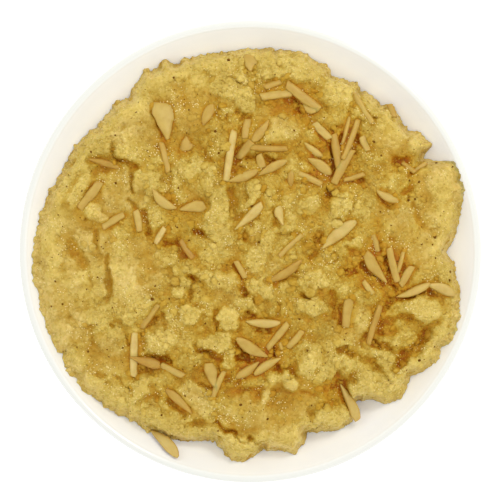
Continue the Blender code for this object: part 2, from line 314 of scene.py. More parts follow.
bowlArc = (mouthHeight - dish["floor"]) / (1 - math.cos(dish["lean"]))
floorRadius = mouthRadius - bowlArc * math.sin(dish["lean"])


def dishInside(radius):
    run = np.clip(radius - floorRadius, 0, mouthRadius - floorRadius)
    return dish["floor"] + bowlArc - np.sqrt(bowlArc ** 2 - run ** 2)


def arcPoints(centre, radius, start, end, steps):
    turns = np.linspace(start, end, steps + 1)
    return [(centre[0] + radius * math.sin(turn), centre[1] - radius * math.cos(turn)) for turn in turns]


def dishProfile():
    lean, corner = dish["lean"], dish["round"]
    wallCentre = (floorRadius, dish["floor"] + bowlArc)
    rimCentre = (mouthRadius + rimRadius * math.sin(lean), mouthHeight - rimRadius * math.cos(lean))
    footOuter = dish["foot"] / 2
    footInner = footOuter - dish["footWidth"]
    outerArc = bowlArc + dish["wall"]
    footTurn = math.asin((footOuter - floorRadius) / outerArc)
    quarter = math.pi / 2
    points = [(0, dish["floor"]), (floorRadius / 2, dish["floor"])]
    points += arcPoints(wallCentre, bowlArc, 0, lean, dish["insideSteps"])
    points += arcPoints(rimCentre, rimRadius, lean + math.pi, lean, dish["rimSteps"])[1:-1]
    points += arcPoints(wallCentre, outerArc, lean, footTurn, dish["outsideSteps"])
    points += arcPoints((footOuter - corner, corner), corner, quarter, 0, dish["cornerSteps"])
    points += arcPoints((footInner + corner, corner), corner, 0, -quarter, dish["cornerSteps"])
    points += [(footInner, dish["recess"]), (footInner - corner * 2, dish["recess"]), (0, dish["recess"])]
    return points


def makeGlaze():
    material, tree, shader = newMaterial("whiteGlaze")
    place = objectPlace(tree)
    tone = ramp(tree, softPattern(tree, place, glaze["cloud"], 2), glaze["tones"])
    level = addNode(tree, "VectorMath", {0: place, 1: (1, 1, 0)}, operation="MULTIPLY").outputs["Vector"]
    radius = addNode(tree, "VectorMath", {0: level}, operation="LENGTH").outputs["Value"]
    # share of the painted rim shade, from the mouth outwards
    rimShadeShare = mapRange(tree, radius, mouthRadius + glaze["rimFrom"], mouthRadius + glaze["rimTo"])
    feed(tree, shader, {
        "Base Color": mixColour(tree, "MIX", rimShadeShare, tone, glaze["rimShadeTone"]),
        # painted light: a glow inside the dish, strongest near the halwa
        "Emission Color": ramp(tree, mapRange(tree, radius, *glaze["glowRadii"]), glaze["glow"]),
        "Emission Strength": 1,
        "Roughness": glaze["roughness"],
        "Coat Weight": glaze["coat"],
        "Coat Roughness": glaze["coatRoughness"],
    })
    return material


def makeDish():
    bm = bmesh.new()
    verts = [bm.verts.new((x, 0, z)) for x, z in dishProfile()]
    edges = [bm.edges.new(pair) for pair in zip(verts, verts[1:])]
    bmesh.ops.spin(bm, geom=verts + edges, axis=(0, 0, 1), cent=(0, 0, 0), angle=math.tau,
                   steps=dish["turnSteps"], use_merge=True, use_duplicate=False)
    bmesh.ops.remove_doubles(bm, verts=bm.verts, dist=dish["merge"])
    bmesh.ops.recalc_face_normals(bm, faces=bm.faces)
    made = newObject("servingDish", meshFrom("servingDish", bm))
    made.data.set_sharp_from_angle(angle=dish["sharp"])
    made.data.materials.append(makeGlaze())
    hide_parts("dish")
    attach(made, "root")


makeDish()
print("stage: dish")


# Halwa: the heap

heap = {
    "cells": 300,  # along each side of its grid
    "crown": 39.5 * mm,  # the dome's height in the middle
    "shoulder": 30.5 * mm,  # and at the mean radius
    "domePower": 2.4,
    "edgeRun": 7 * mm,  # how far in from the outline the side reaches the top
    "edgePower": 2.6,
    "clumpEnd": 1.12,  # in shares of a clump's ellipse: where its side ends,
    "clumpSide": 0.42,  # how broad its side is
    "clumpDome": 0.3,  # and how much lower its rim is than its middle
    "pitShare": 0.78,  # of the depth that is given for each pit
    "reliefRun": 4 * mm,  # how far in from the outline the main forms are full
    "fineRun": 1.5 * mm,  # and the crumbs
    "gap": 0.25 * mm,
    "underside": (0.8, 0.58),  # its rings, against the mean radius
    "outlinePower": 6,  # the higher, the nearer the outline the grid takes on its shape
    "warp": (5 * mm, 1.5 * mm),  # size and reach of the bends in every clump's outline
    "ringPoints": 1440,
    "ringRound": 2,  # points on either side that round off the outline's corners
    "sharp": math.radians(95),
}

# the outline seen from above, in millimetres from the dish's axis, from the right and to the left round
heapOutline = (
    (81, -0.5), (83.5, 4), (86, 11), (87, 20), (88.2, 26.8), (86, 31), (84, 37), (78.5, 40.2), (73, 37.3),
    (71.6, 37.4), (72.5, 40.5), (74.8, 43.8), (71, 48), (69, 50.3), (65.5, 49.5), (62, 55), (59, 60.5),
    (54, 61), (52.5, 63), (46, 67), (43.5, 70), (38, 71.5), (33, 73), (33.5, 76), (30, 77.5), (25, 79.5),
    (24, 81.5), (16, 83), (9.5, 83.5), (8.3, 85.2), (7, 83.8), (0, 84), (-8, 83.3), (-18, 81.5),
    (-27, 79.8), (-31.5, 77), (-34.5, 79.3), (-37.5, 78), (-38.6, 76), (-41, 74.6), (-44, 75.3),
    (-45.4, 72), (-47.5, 69), (-50.5, 63.7), (-55, 62), (-60, 56), (-65, 51), (-68, 48.5), (-71.5, 45),
    (-75, 39.5), (-79, 31.5), (-80.5, 27.5), (-83.5, 25), (-84.5, 21), (-88, 11), (-89.3, 2), (-90, -6.5),
    (-89, -14.5), (-87.5, -15.7), (-87.3, -19), (-84.5, -30), (-83, -34), (-79.5, -41), (-77.3, -42.5),
    (-75.5, -50), (-73, -51), (-68, -58), (-62.5, -61), (-60, -64), (-55, -67.5), (-51, -68.5),
    (-50, -70.5), (-47.5, -71), (-43, -74.5), (-38, -75.5), (-30, -78.3), (-21, -78.7), (-14.6, -78.6),
    (-13.5, -81), (-9, -84.5), (-7, -86.5), (-4, -87.3), (1, -85.2), (5, -81.8), (14, -82.6), (17.5, -84),
    (20, -83), (20.4, -80.5), (22.5, -80), (23.5, -74.8), (34, -74.5), (40, -72), (43, -69.5), (44, -65),
    (43, -62.5), (50, -61.2), (56, -63.3), (62, -61), (66.5, -52), (73, -48), (76.5, -45), (78.8, -40),
    (82.5, -37), (84.5, -33), (86, -28), (86, -14), (84.5, -10), (84.5, -6), (83, -3),
)

# raised clumps with flat tops: x, y, half length, half width, turn in degrees and height
clumps = (
    (-12, 6.8, 5.8, 4.6, -20, 2), (-12.5, -11.5, 7.5, 5, -10, 1.7), (-15, -2, 7, 5, 5, 1.1),
    (2, -2.5, 5.5, 5, 60, 1.2), (5, -15.5, 5, 5.5, 80, 1.9), (7, 3, 4.6, 3.8, 70, 1.2),
    (25, -12.5, 6.5, 5, 20, 1.8), (25, -22.5, 6, 5, 0, 2.2), (-24, -25.5, 5, 5, 80, 2.2),
    (-9, -27.5, 5.5, 5, 0, 2.2), (1, 24, 6, 3, 80, 1.9), (-13.5, 17, 10, 5.5, 75, 1.9),
    (-20, 30, 9, 6.5, 110, 1.4), (24, 18.5, 6, 4.5, 30, 1.4), (15, 12, 5, 4, 60, 0.8),
    (34, 14, 5, 4, 40, 1), (-3, -20.5, 5, 3, 0, 1.1), (-19, -8, 4, 3.5, 0, 0.8), (-27, -9, 5, 5, 0, 0.9),
    (-28, -15, 5, 4, 20, 0.9), (-2, 61.5, 6.4, 4.8, 85, 3), (-10.5, 66.5, 7.5, 4.8, -15, 1.7),
    (-2, 71.5, 4.8, 3, -20, 1.6), (-14, 75, 8, 4, -30, 1.1), (7, 74, 6, 4, 0, 1.2), (20, 74, 6, 5, 0, 1),
    (-22, 66, 5, 6, 0, 0.6), (12, 50, 9, 6, 10, 1.3), (26, 46.5, 5, 3, -45, 1.2), (-13, 44, 7, 5, 0, 0.8),
    (-26, 34, 8, 5, 30, 1.2), (-15, 55, 5, 6, 0, 0.5), (33, 64, 5, 5, 0, 0.8), (28, 55, 4, 4, 0, 0.8),
    (18, 33, 7, 5, -30, 1.1), (25, 25, 6, 4, 0, 0.6), (-47, 45, 9.5, 7, 20, 1.2), (-53, 41, 4, 3, -30, 1.4),
    (-61, 43, 4, 3, 0, 1), (-62, 49, 6, 3, 40, 0.8), (-45, 56, 7, 7, 0, 0.7), (-46, 68, 5, 4, 60, 0.7),
    (-36, 74, 6, 5, 0, 0.9), (-33, 66, 6, 5, 0, 0.5), (-70.5, 24, 8.5, 3.4, 65, 1.4),
    (-65.3, 17, 4, 3.6, -30, 2.4), (-61.5, 14, 4, 2.6, -20, 1.5), (-39.5, 18, 10.5, 6.5, 85, 1.3),
    (-42, 29, 6, 6, 0, 1.4), (-68, 5, 6, 4, -50, 0.9), (-78, 12, 7, 6, 0, 0.6), (-82, -4, 9, 5, 85, 0.6),
    (-73, -11, 7, 4, 0, 0.7), (-51.5, -8, 12, 6.5, 88, 1.2), (-62.5, -17, 3.5, 3.5, 0, 1),
    (-67, -27, 7, 3.5, 10, 1), (-46, -18, 6, 6, 0, 0.8), (-49, -26, 5, 3.5, 80, 1),
    (-38, -12, 6, 4, 0, 0.8), (-36, -4, 6, 3, -20, 0.8), (-53, 2, 5, 3, 0, 0.6),
    (-37, -36.5, 7.5, 4.8, 15, 2.1), (-57, -38, 6, 5, 0, 1), (-55, -33, 4, 2.6, 0, 0.8),
    (-71, -44, 6, 6, 0, 0.9), (-64, -55, 6.5, 4.5, -30, 1.2), (-78, -33, 5, 5, 0, 0.7),
    (-45, -56, 5, 4, 80, 1.2), (-56, -62, 6, 3, -20, 0.8), (-42, -66, 5, 3.5, -20, 0.9),
    (-47, -70, 4, 3, 0, 0.8), (-14, -37, 7.4, 4.6, 0, 2.2), (-8, -44, 4.8, 3.6, 75, 1.6),
    (-26, -38, 5, 5, 0, 0.8), (-25, -45, 5, 3, 0, 0.6), (23, -43, 7.5, 6, 70, 1.5), (27, -48, 9, 7, 0, 1.8),
    (12, -51, 6, 3.2, 0, 1.4), (16.5, -54.5, 3.4, 2.8, 0, 1.9), (2, -53.3, 4.6, 2.2, 10, 1.2),
    (-2.6, -54.2, 1.9, 2, 0, 1.3), (7, -57.5, 7, 3, 78, 1.5), (-22, -60, 10, 6.5, -30, 1.5),
    (-3, -65, 12, 6.5, -20, 1.5), (15, -76, 7, 6, 0, 1.4), (-3, -80.5, 8, 4.8, -10, 1.8),
    (-10, -77, 3.4, 3, 0, 1.2), (-24, -75, 5, 3, 0, 0.8), (-33, -74, 5, 4, -30, 0.8),
    (22, -72, 3.6, 3.5, 0, 0.8), (31, -67.5, 5.5, 3.4, 0, 1.4), (42, -46, 5, 3, -20, 1),
    (48, -40.5, 5, 4, 0, 1), (47, -53, 5, 5, 0, 1.4), (59, -53, 6, 4, 70, 1.4), (52, -58, 4, 3, 0, 1.1),
    (55, -43.5, 4.4, 4, -40, 1.2), (56, -36, 5, 3, 0, 1), (63, -35.5, 5.5, 5, 40, 1.2),
    (74, -40, 6, 4, 45, 1.6), (68, -46, 6, 3.6, 35, 1.4), (62, -51, 4, 4, 0, 1), (38, -45, 4, 4, 0, 0.8),
    (41, -57, 4, 4, 0, 0.6), (78, -33, 5, 4, 30, 1.3), (72, -24, 9, 5.8, -12, 2.5),
    (60, -23, 5, 2.6, -15, 1.1), (57, -25.7, 3, 1.7, 0, 1.3), (48, -18, 6, 4, 0, 1.3),
    (42, -23, 7, 4, 80, 0.9), (46, -28, 6, 3.6, 75, 0.8), (37, 18.5, 5.4, 4.6, 60, 1.6),
    (37, 23.3, 3.4, 2, 0, 1.1), (45, 16, 4, 3, 0, 0.9), (37, 2, 4.4, 4, 0, 1.1), (41.5, 4, 4, 3, 0, 0.7),
    (46, 6, 5, 4, 20, 0.8), (62, 12, 9, 7, 0, 0.7), (70, 2, 10, 6, 0, 0.7), (79, 28, 8.5, 7, 85, 1.4),
    (83, 13, 7.5, 3.6, 82, 1.2), (76, 15, 7, 5, 85, 0.6), (60, 28, 5, 4, 0, 0.8), (80, -8, 5, 4, 80, 0.6),
    (57, 47, 8, 6, 0, 0.8), (68, 46, 6, 4.4, -45, 1), (54, 57, 4, 3, 0, 0.9), (80, 36.5, 5, 3.2, 0, 1.2),
    (68, 35, 3, 3, 0, 0.7), (33, -10, 6, 4, 85, 0.8), (38, -15, 5, 4, 85, 0.8),
)

# pits and grooves between the clumps: half width, depth, then the line that each follows
pits = (
    (2.7, 3.7, (-22, 7.8), (-19.4, 7)), (2.7, 3.8, (-24.8, -10.4), (-24.3, -11.8)),
    (1.2, 2, (-24, -14), (-24.3, -19.5)), (2, 3.4, (-2.7, 6.6), (-2.4, 5.6)),
    (1.3, 2, (-7, -5.5), (-5.5, -8), (-3.5, -10.5), (-3.2, -13.5)), (1.9, 3.4, (-3.6, -14.5), (-3, -16.8)),
    (1.4, 3, (-1, -24.6), (-0.6, -26.5)), (1.5, 2.6, (-3, -28), (0, -26.6), (1.6, -26.3)),
    (1.3, 2.4, (21.3, -18), (23, -18.4)), (1.4, 1.8, (6.5, -12.5), (8.4, -12.2)),
    (3, 1.8, (9.5, -12.4), (17.5, -10)), (2.4, 1.8, (25.5, -3), (26.8, 0), (27, 5), (28.4, 8)),
    (2, 2, (18, -7), (20, -8)), (3, 2.6, (-35, 3), (-30, 3.6)), (2.6, 2, (-30, 3), (-27.5, -1.5)),
    (2.4, 2, (33, -17.5), (34.3, -22), (33.5, -26)), (1.5, 2.2, (2.5, -31.7), (8.5, -31.7)),
    (3.6, 2.3, (-8, 24), (-5, 13.5)), (1.4, 1, (4.5, 23), (6.5, 24.5)), (2.6, 1, (11, 24), (13, 21)),
    (1.5, 1.6, (-14.2, -24.3), (-13.8, -31)), (1.2, 1.4, (-20, -30), (-17, -32)),
    (1.6, 1, (12, -22), (11, -26)), (1.8, 1.6, (9.4, 17), (11.5, 10)), (2, 1.4, (0, 10.5), (3, 14)),
    (1.9, 1.8, (-8, 55.5), (-5, 57.8)), (1.5, 1.8, (-3, 54.2), (0, 54.4)),
    (1.4, 1.4, (-10, 54), (-8.5, 56.5)), (1.3, 1.8, (2.6, 74.8), (0.5, 73.6), (-2.5, 75)),
    (1.2, 1, (-16, 71), (-14, 68)), (3.2, 2.8, (16, 62.3), (19, 60.5), (19.6, 57)),
    (1.4, 1.2, (-12.5, 58.6), (-14, 59.6)), (2, 2.8, (-1, 38.5), (2.5, 38.6)),
    (2, 2.4, (7.3, 38.3), (9.5, 36.8)), (1.9, 2.6, (-4, 44.5), (-6.4, 36)),
    (2.6, 2.2, (-7, 33), (-4, 34.2)), (2.2, 3, (32, 44), (34, 36), (34.5, 31)),
    (1.8, 2.8, (31.4, 25.5), (33, 22.3)), (1.4, 1.6, (33.5, 49), (34, 46)),
    (1.4, 1.4, (30, 43.6), (27.5, 44)), (1.2, 1.2, (10, 79), (12, 76)),
    (1.6, 2.8, (37.6, 47), (36.6, 41.5)), (2.3, 2.6, (43.4, 47), (42.6, 40.5)),
    (1.6, 1.7, (50.6, 54.8), (52.6, 56.2)), (1.2, 1.5, (56.6, 58.6), (57, 56)),
    (3.6, 1.2, (60, 36.6), (66, 38), (69, 36)), (2.4, 1.2, (66, 38.6), (72, 39)),
    (1.6, 1.4, (60.5, 34.5), (62, 36)), (1.2, 1.2, (35, 51), (37, 51)), (1.2, 1.2, (65, 46.7), (64.5, 46)),
    (2.5, 1.6, (41, 57.6), (42.5, 61)), (1.5, 1.4, (45, 53.5), (46.2, 52.4)),
    (1.4, 2.2, (-57, 42), (-56, 38.5), (-54, 36.8)), (2.4, 2.2, (-52.5, 37.2), (-47.6, 36)),
    (1.4, 2.6, (-47, 35.7), (-46.3, 34)), (3, 1.5, (-66, 37.3), (-58, 38)),
    (3.4, 1.6, (-64, 32), (-60, 33.5)), (1.3, 1, (-57.5, 46), (-56.8, 42)),
    (1.1, 0.9, (-52.5, 53), (-52, 50.5)), (1, 0.8, (-63, 46.5), (-61.5, 45.5)),
    (1, 0.9, (-53, 47), (-52, 45)), (1.5, 1.4, (-39.6, 57), (-36.4, 47)),
    (1.4, 2, (-48, 37), (-48.4, 30), (-47.8, 25)), (1.5, 2, (-50.3, 21.8), (-48, 19.5), (-46, 17.8)),
    (2.1, 2.8, (-44, 16), (-42.6, 11), (-41, 6)), (1.6, 1.8, (-67.6, 16.2), (-66.4, 13.4)),
    (1.8, 1.4, (-64, 8), (-62.5, 3)), (1.8, 1, (-62, 3), (-61.5, -3)),
    (3.4, 1.4, (-74, 3), (-70, -2), (-68.5, -6)),
    (1.8, 2, (-59.2, -3), (-57.8, -8), (-58.2, -14), (-58.8, -19.6)), (1.4, 0.9, (-66, -10), (-64.5, -14)),
    (1.6, 1.8, (-57.6, -29.5), (-56.2, -31.2)), (1.6, 1.2, (-74, -26), (-71, -29)),
    (2, 1, (-68, -30.6), (-65, -31.5)), (3, 1.6, (-42, -31), (-38, -28)),
    (1.9, 2.4, (-36, -26), (-35, -29.3)), (1.2, 1.2, (-56, -28.4), (-52, -28.2)),
    (2.6, 1.5, (-64, 28), (-61.4, 20), (-62, 17)), (1.3, 1, (-84, -4), (-83.5, -8)),
    (1.6, 1.2, (-44, -32), (-41, -31.6)), (2, 1.4, (-65, -35), (-64.5, -38)),
    (1.4, 1.4, (-51.4, -34), (-50, -38)), (2.3, 2, (-43.6, -34), (-43, -39.5)),
    (1.5, 2.4, (-42.3, -43), (-38, -43.4)), (2.1, 3.4, (-36.2, -44.6), (-33, -44)),
    (2.6, 1.5, (-45, -48.5), (-40, -49.2)), (1.3, 1.4, (-55.3, -51.4), (-52.5, -54), (-50.4, -56.4)),
    (2.6, 1.4, (-40, -56), (-38, -60)), (2.2, 2, (-33.4, -61.3), (-27, -67)),
    (1.4, 1, (-63, -50), (-60, -51)), (1.1, 0.9, (-60, -54.5), (-59, -54)),
    (2.6, 1, (-36, -74), (-33, -78)), (1.9, 2.8, (-20.6, -40.4), (-17.5, -42), (-12.5, -44.6)),
    (1.4, 1.8, (-21, -37.5), (-21, -40)), (1.9, 3, (-4.6, -43.2), (-2, -43.9), (1.5, -44)),
    (1.8, 2.6, (-7.6, -36.4), (-5, -39), (0, -41.2)), (1.7, 3, (9.4, -39.6), (9.9, -42.6)),
    (2.2, 3.2, (10.3, -46.9), (12.2, -48.2)), (1.5, 2.3, (13.5, -47.4), (16, -48.5), (17.6, -50.6)),
    (1.3, 1.8, (-12.8, -46.6), (-13, -50)), (1.7, 1.9, (-20, -54.4), (-16.5, -56.2)),
    (2.6, 1.7, (-9, -52), (-4, -53)), (3, 1.3, (-9, -57), (2, -56.6)), (1.5, 1.2, (1, -55.3), (5, -55.6)),
    (1.4, 1.4, (3.3, -59.3), (4.6, -57)), (1.6, 1.3, (9.5, -56), (14, -57.6), (18, -58)),
    (3, 0.7, (11, -60), (18, -60.5)), (1.8, 2.9, (-14, -70.4), (-12, -72), (-10, -73.6), (-6.8, -74.8)),
    (1.2, 1.9, (-6.6, -75), (-4, -78), (-1, -78.5)), (1.8, 2.6, (-0.6, -76.4), (0.7, -77.2)),
    (1.2, 1.8, (0.6, -77.5), (3, -79), (4.8, -81.6)), (2.6, 1.3, (-24, -70.3), (-16, -71)),
    (2.6, 1.4, (-15, -73), (-14, -76)), (2.1, 1.9, (24, -66), (25.6, -68.6)),
    (2, 2.2, (29.5, -62.4), (36.5, -62.5)), (1.8, 1.5, (21, -57.4), (27, -58.6)),
    (1.2, 1, (26.4, -72.5), (27.6, -72.5)), (1.5, 1.2, (20.5, -44), (20, -46)),
    (1.6, 2.6, (36, -40), (39.2, -39)), (1.5, 2.6, (40, -41), (41.6, -42.2)),
    (1.3, 1.4, (42, -43.3), (45, -43.6)), (1.6, 2.8, (50.7, -37.4), (52.6, -38.9)),
    (1.5, 1.5, (53, -37), (57, -39.6), (57.6, -42)), (1.7, 1.8, (50, -45), (52.5, -48.5), (54.6, -50.2)),
    (1.4, 1.5, (55.6, -51.3), (57.6, -53.4), (56, -56)), (2.8, 3, (73, -32.4), (68.6, -36.6), (66.5, -39)),
    (3.2, 3, (66.5, -39), (62.7, -43.5), (60, -48.6)), (2, 1.6, (70, -39.6), (67, -43)),
    (3.2, 3, (35.6, -51), (38, -53.4)), (1.6, 2.4, (33.8, -56), (35.8, -55.6)),
    (3, 1.7, (41, -52), (42, -56)), (2.7, 2.4, (32, -62), (39, -62.6)), (1.6, 1.7, (49, -59), (52, -61)),
    (1.6, 1.3, (53, -61.4), (57, -61.6)), (1.8, 1.3, (45, -56), (48, -59)),
    (1.6, 1.8, (53, -29), (54, -30.2)), (2.6, 1.5, (54, -29), (57.6, -28)),
    (1.6, 1.8, (53.7, -33.6), (53, -33)), (1.3, 1.8, (46.4, -33), (46, -38.4)),
    (2.3, 2, (62.8, 25), (65.8, 25.6)), (1.2, 1.3, (65, 23), (64.6, 20.8)),
    (1.9, 1.5, (66.6, 19.4), (68, 15), (70, 10.3)), (1.2, 0.8, (71, 9.5), (76, 9)),
    (1.7, 2.2, (38, -7), (39.7, -7.3)), (2.6, 1.7, (40, -9), (42.5, -8)),
    (1.6, 1.8, (39.4, 2.2), (41, 0.4)), (2.6, 1.5, (41, -0.4), (45, -1.2)),
    (2.2, 1.8, (46.6, 3.4), (48, 5.4)), (1.8, 2.6, (46, -5.6), (50, -9.5), (54, -12.6)),
    (1.7, 3.2, (55, -2.8), (55.6, -7), (57.2, -12), (59.6, -15.6)), (1.5, 2.1, (60.7, -8.6), (62, -5.8)),
    (2.1, 3.2, (56.8, -21.2), (60.4, -18.6)), (1.9, 2.8, (61, -19.4), (66, -17.8)),
    (2.3, 2.8, (69.8, -17.2), (74.2, -17.4)), (1.4, 1.5, (76, -18), (84, -19.5)),
    (1.9, 2.2, (37, -21.6), (37, -29.6)), (2.8, 1.8, (59.6, -26), (65.6, -28)),
    (2.2, 1.7, (71, -30.8), (77, -28), (79, -25)), (1.6, 1.5, (56, -23.5), (56.5, -21.5)),
    (2.3, 1.9, (51.5, 21.4), (57.4, 18.8)), (1.3, 1.5, (36.2, 14.7), (36.2, 12.3)),
    (2, 1.1, (38, 5), (41, 5.6)), (1.4, 1.1, (66.5, -6), (68, -7)), (1.6, 1.1, (52, 3.2), (53, 0)),
    (1.5, 1.7, (37.4, 28), (45.4, 29.2)), (1.4, 1.3, (57.4, 4.8), (58.4, 4.5)),
)

# broad scooped hollows: x, y, half length, half width, turn in degrees and depth
hollows = (
    (-55.5, 21, 15, 8, 95, 1.8), (-57, 34, 8, 4, -10, 1), (13, 59, 12, 5, 0, 1.6), (-13, 55, 6, 5, 60, 1.1),
    (56, 17, 9, 6, 0, 0.9), (63, 37, 9, 4, 0, 1.4), (44, -8, 8, 5, -40, 1.2), (-30, 5, 8, 6, 0, 1.4),
    (2, -43, 16, 6, 10, 1.1), (-20, -50, 9, 7, 0, 1), (14, -62, 9, 6, 0, 1.1), (34, -57, 8, 7, 0, 1.6),
    (-38, -46, 10, 5, 0, 1.3), (64, -42, 12, 6, 45, 1.2), (26, 0, 6, 9, -20, 1.1), (13, -9, 7, 4, 25, 0.9),
    (-25, -73, 14, 5, 0, 1.3), (30, 39, 8, 11, 0, 1.3), (41, 50, 7, 9, 20, 1), (-71, -1, 9, 5, -50, 1.2),
    (-40, -29, 7, 5, 30, 1), (54, -31, 7, 5, 0, 0.9), (-2, 37, 9, 5, 10, 1.3), (45, 27, 8, 4, 0, 0.8),
)

# where the halwa was pressed smooth: x, y and radius
pressed = (
    (-76, -2, 24), (-56, 22, 13), (68, 6, 15), (78, 26, 12), (0, -66, 12), (-30, 62, 16), (-62, -46, 14),
    (-48, -8, 13), (12, 52, 9), (15, -76, 8), (-45, 52, 14), (58, 46, 10), (-72, 12, 14), (-80, -30, 14),
    (19, -60, 10), (42, -30, 9), (-24, -62, 7),
)

# broad areas that are paler or, below 0, more amber: x, y, radius and shift
paleAreas = (
    (-74, -4, 30, 0.06), (-57, -19, 18, 0.19), (0, 76, 26, 0.17), (-50, 60, 20, 0.12), (-62, 46, 14, 0.14),
    (-9, 11, 17, 0.18), (11, -4, 15, 0.13), (78, 18, 16, 0.03), (75, -2, 11, -0.04), (52, -8, 19, -0.3),
    (32, 34, 17, -0.2), (30, 46, 12, -0.12), (0, 39, 9, 0.28), (-19, -22, 14, 0.04), (30, -42, 11, 0.12),
    (54, -58, 15, 0.18), (2, -44, 13, -0.34), (-42, 30, 16, 0.09), (42, 16, 12, 0.1), (-62, -48, 16, -0.09),
    (18, -80, 14, -0.1), (0, -78, 14, -0.06), (57, 44, 15, -0.17), (-20, -78, 14, -0.08),
    (-4, -60, 14, -0.12), (18, 60, 13, -0.22), (-25, 62, 10, -0.14), (-68, -30, 10, 0.08),
    (40, -30, 10, -0.02), (60, -32, 14, -0.13), (15, 14, 10, 0.08), (32, -60, 10, -0.23),
    (-45, 45, 11, -0.12), (50, -45, 11, -0.13), (-56, 20, 11, 0.28), (-46, 17, 9, -0.06),
    (15, 32, 10, 0.05), (-31, 46, 12, -0.08), (-29, 12, 10, -0.08), (-40, -30, 12, 0.23),
    (64, 28, 11, -0.1), (11, -30, 12, -0.07), (-2, 61, 9, 0.14),
)

# finer unevenness: size and height
crumble = {
    "swell": (17 * mm, 1.1 * mm),
    "clump": (6.5 * mm, 0.7 * mm),
    "lump": (5.8 * mm, 0.8 * mm),
    "crumb": (2.7 * mm, 0.5 * mm),
    "grit": (1.4 * mm, 0.22 * mm),
    "edge": (2.8 * mm, 0.85 * mm),
    "fray": (1.3 * mm, 0.4 * mm),
    "bend": (3.5 * mm, 1.1 * mm),  # bends in the lumps' and crumbs' outlines
    "lumpPatch": (13 * mm, 1.2),  # size of the patches that have lumps, and how distinct they are
    "crumbPatch": (8 * mm, 1.3),
    "seam": (0.45, 0.6),  # breadth of the seam round a lump, and its depth against the lump's height
    "pressed": (1.25, 0.6, 0.8),  # how far out it goes, how gradually, and how smooth it is
    "pressedLeft": 0.35,  # share of the clumps that is left where the halwa was pressed
    "besideAlmond": 0.05,  # share of all of it that is left beside an almond
}


def makeRing():
    # the outline as angles and radii, its corners rounded and its line made ragged
    turns = np.array([math.atan2(y, x) % math.tau for x, y in heapOutline])
    reaches = np.array([math.hypot(x, y) * mm for x, y in heapOutline])
    order = np.argsort(turns)
    angles = np.linspace(0, math.tau, heap["ringPoints"], endpoint=False)
    radii = np.interp(angles, turns[order], reaches[order], period=math.tau)
    steps = range(-heap["ringRound"], heap["ringRound"] + 1)
    radii = np.mean([np.roll(radii, step) for step in steps], axis=0)
    places = levelPlaces(np.cos(angles), np.sin(angles)) * radii[:, None]
    for size, depth in (crumble["edge"], crumble["fray"]):
        radii = radii + softNoise(places, size, 3) * depth
    return angles, radii


ringAngles, ringRadii = makeRing()
meanRadius = ringRadii.mean()
ringTree = KDTree(len(ringAngles))
for index, (angle, radius) in enumerate(zip(ringAngles, ringRadii)):
    ringTree.insert((radius * math.cos(angle), radius * math.sin(angle), 0), index)
ringTree.balance()


def edgeRadius(angles):
    return np.interp(angles % math.tau, ringAngles, ringRadii, period=math.tau)


def bumpShape(share):
    return np.clip(1 - share ** 2, 0, 1) ** 2


def ellipseShare(x, y, middleX, middleY, long, wide, turn):
    # 0 in an ellipse's middle and 1 on its line; all but x and y are in millimetres and degrees
    cosine, sine = math.cos(math.radians(turn)), math.sin(math.radians(turn))
    offX, offY = x - middleX * mm, y - middleY * mm
    along, across = offX * cosine + offY * sine, offY * cosine - offX * sine
    return np.hypot(along / (long * mm), across / (wide * mm))


def lineDistance(x, y, start, end):
    along = np.subtract(end, start)
    share = np.clip(((x - start[0]) * along[0] + (y - start[1]) * along[1]) / (along @ along), 0, 1)
    return np.hypot(x - start[0] - along[0] * share, y - start[1] - along[1] * share)


def bent(x, y):
    # each place is looked up a little aside, which makes the forms' lines uneven
    level = levelPlaces(x, y)
    size, reach = heap["warp"]
    return [place + softNoise(level + shift, size, 3) * reach for place, shift in ((x, 0.2), (y, 0.7))]


def clumpHeight(x, y):
    height = np.zeros_like(x)
    for *ellipse, rise in clumps:
        share = ellipseShare(x, y, *ellipse)
        side = smoothStep((heap["clumpEnd"] - share) / heap["clumpSide"])
        height += rise * mm * side * (1 - heap["clumpDome"] * np.minimum(share, 1) ** 2)
    return height


def pitDepth(x, y):
    groove = np.zeros_like(x)
    for width, depth, *line in pits:
        points = [np.array(point) * mm for point in line]
        away = np.min([lineDistance(x, y, a, b) for a, b in zip(points, points[1:])], axis=0)
        groove = np.maximum(groove, depth * mm * bumpShape(away / (width * mm)))
    return groove


def mainForms(x, y):
    height = clumpHeight(x, y) - pitDepth(x, y) * heap["pitShare"]
    for *ellipse, depth in hollows:
        height -= depth * mm * bumpShape(ellipseShare(x, y, *ellipse))
    return height


def domeHeight(radius):
    return heap["crown"] - (heap["crown"] - heap["shoulder"]) * (radius / meanRadius) ** heap["domePower"]


def coarseHeight(x, y):
    # the heap's height with its main forms only, and how far each place is inside the outline
    radius = np.hypot(x, y)
    found = [ringTree.find(place)[2] for place in levelPlaces(x, y)]
    inward = np.where(radius > edgeRadius(np.arctan2(y, x)), 0, found)
    foot = dishInside(radius) + heap["gap"]
    rise = 1 - (1 - np.clip(inward / heap["edgeRun"], 0, 1)) ** heap["edgePower"]
    size, height = crumble["swell"]
    forms = mainForms(*bent(x, y)) + softNoise(levelPlaces(x, y), size, 2) * height
    return foot + (domeHeight(radius) - foot) * rise + forms * smoothStep(inward / heap["reliefRun"]), inward


# Almonds, laid on the main forms before the halwa closes round them

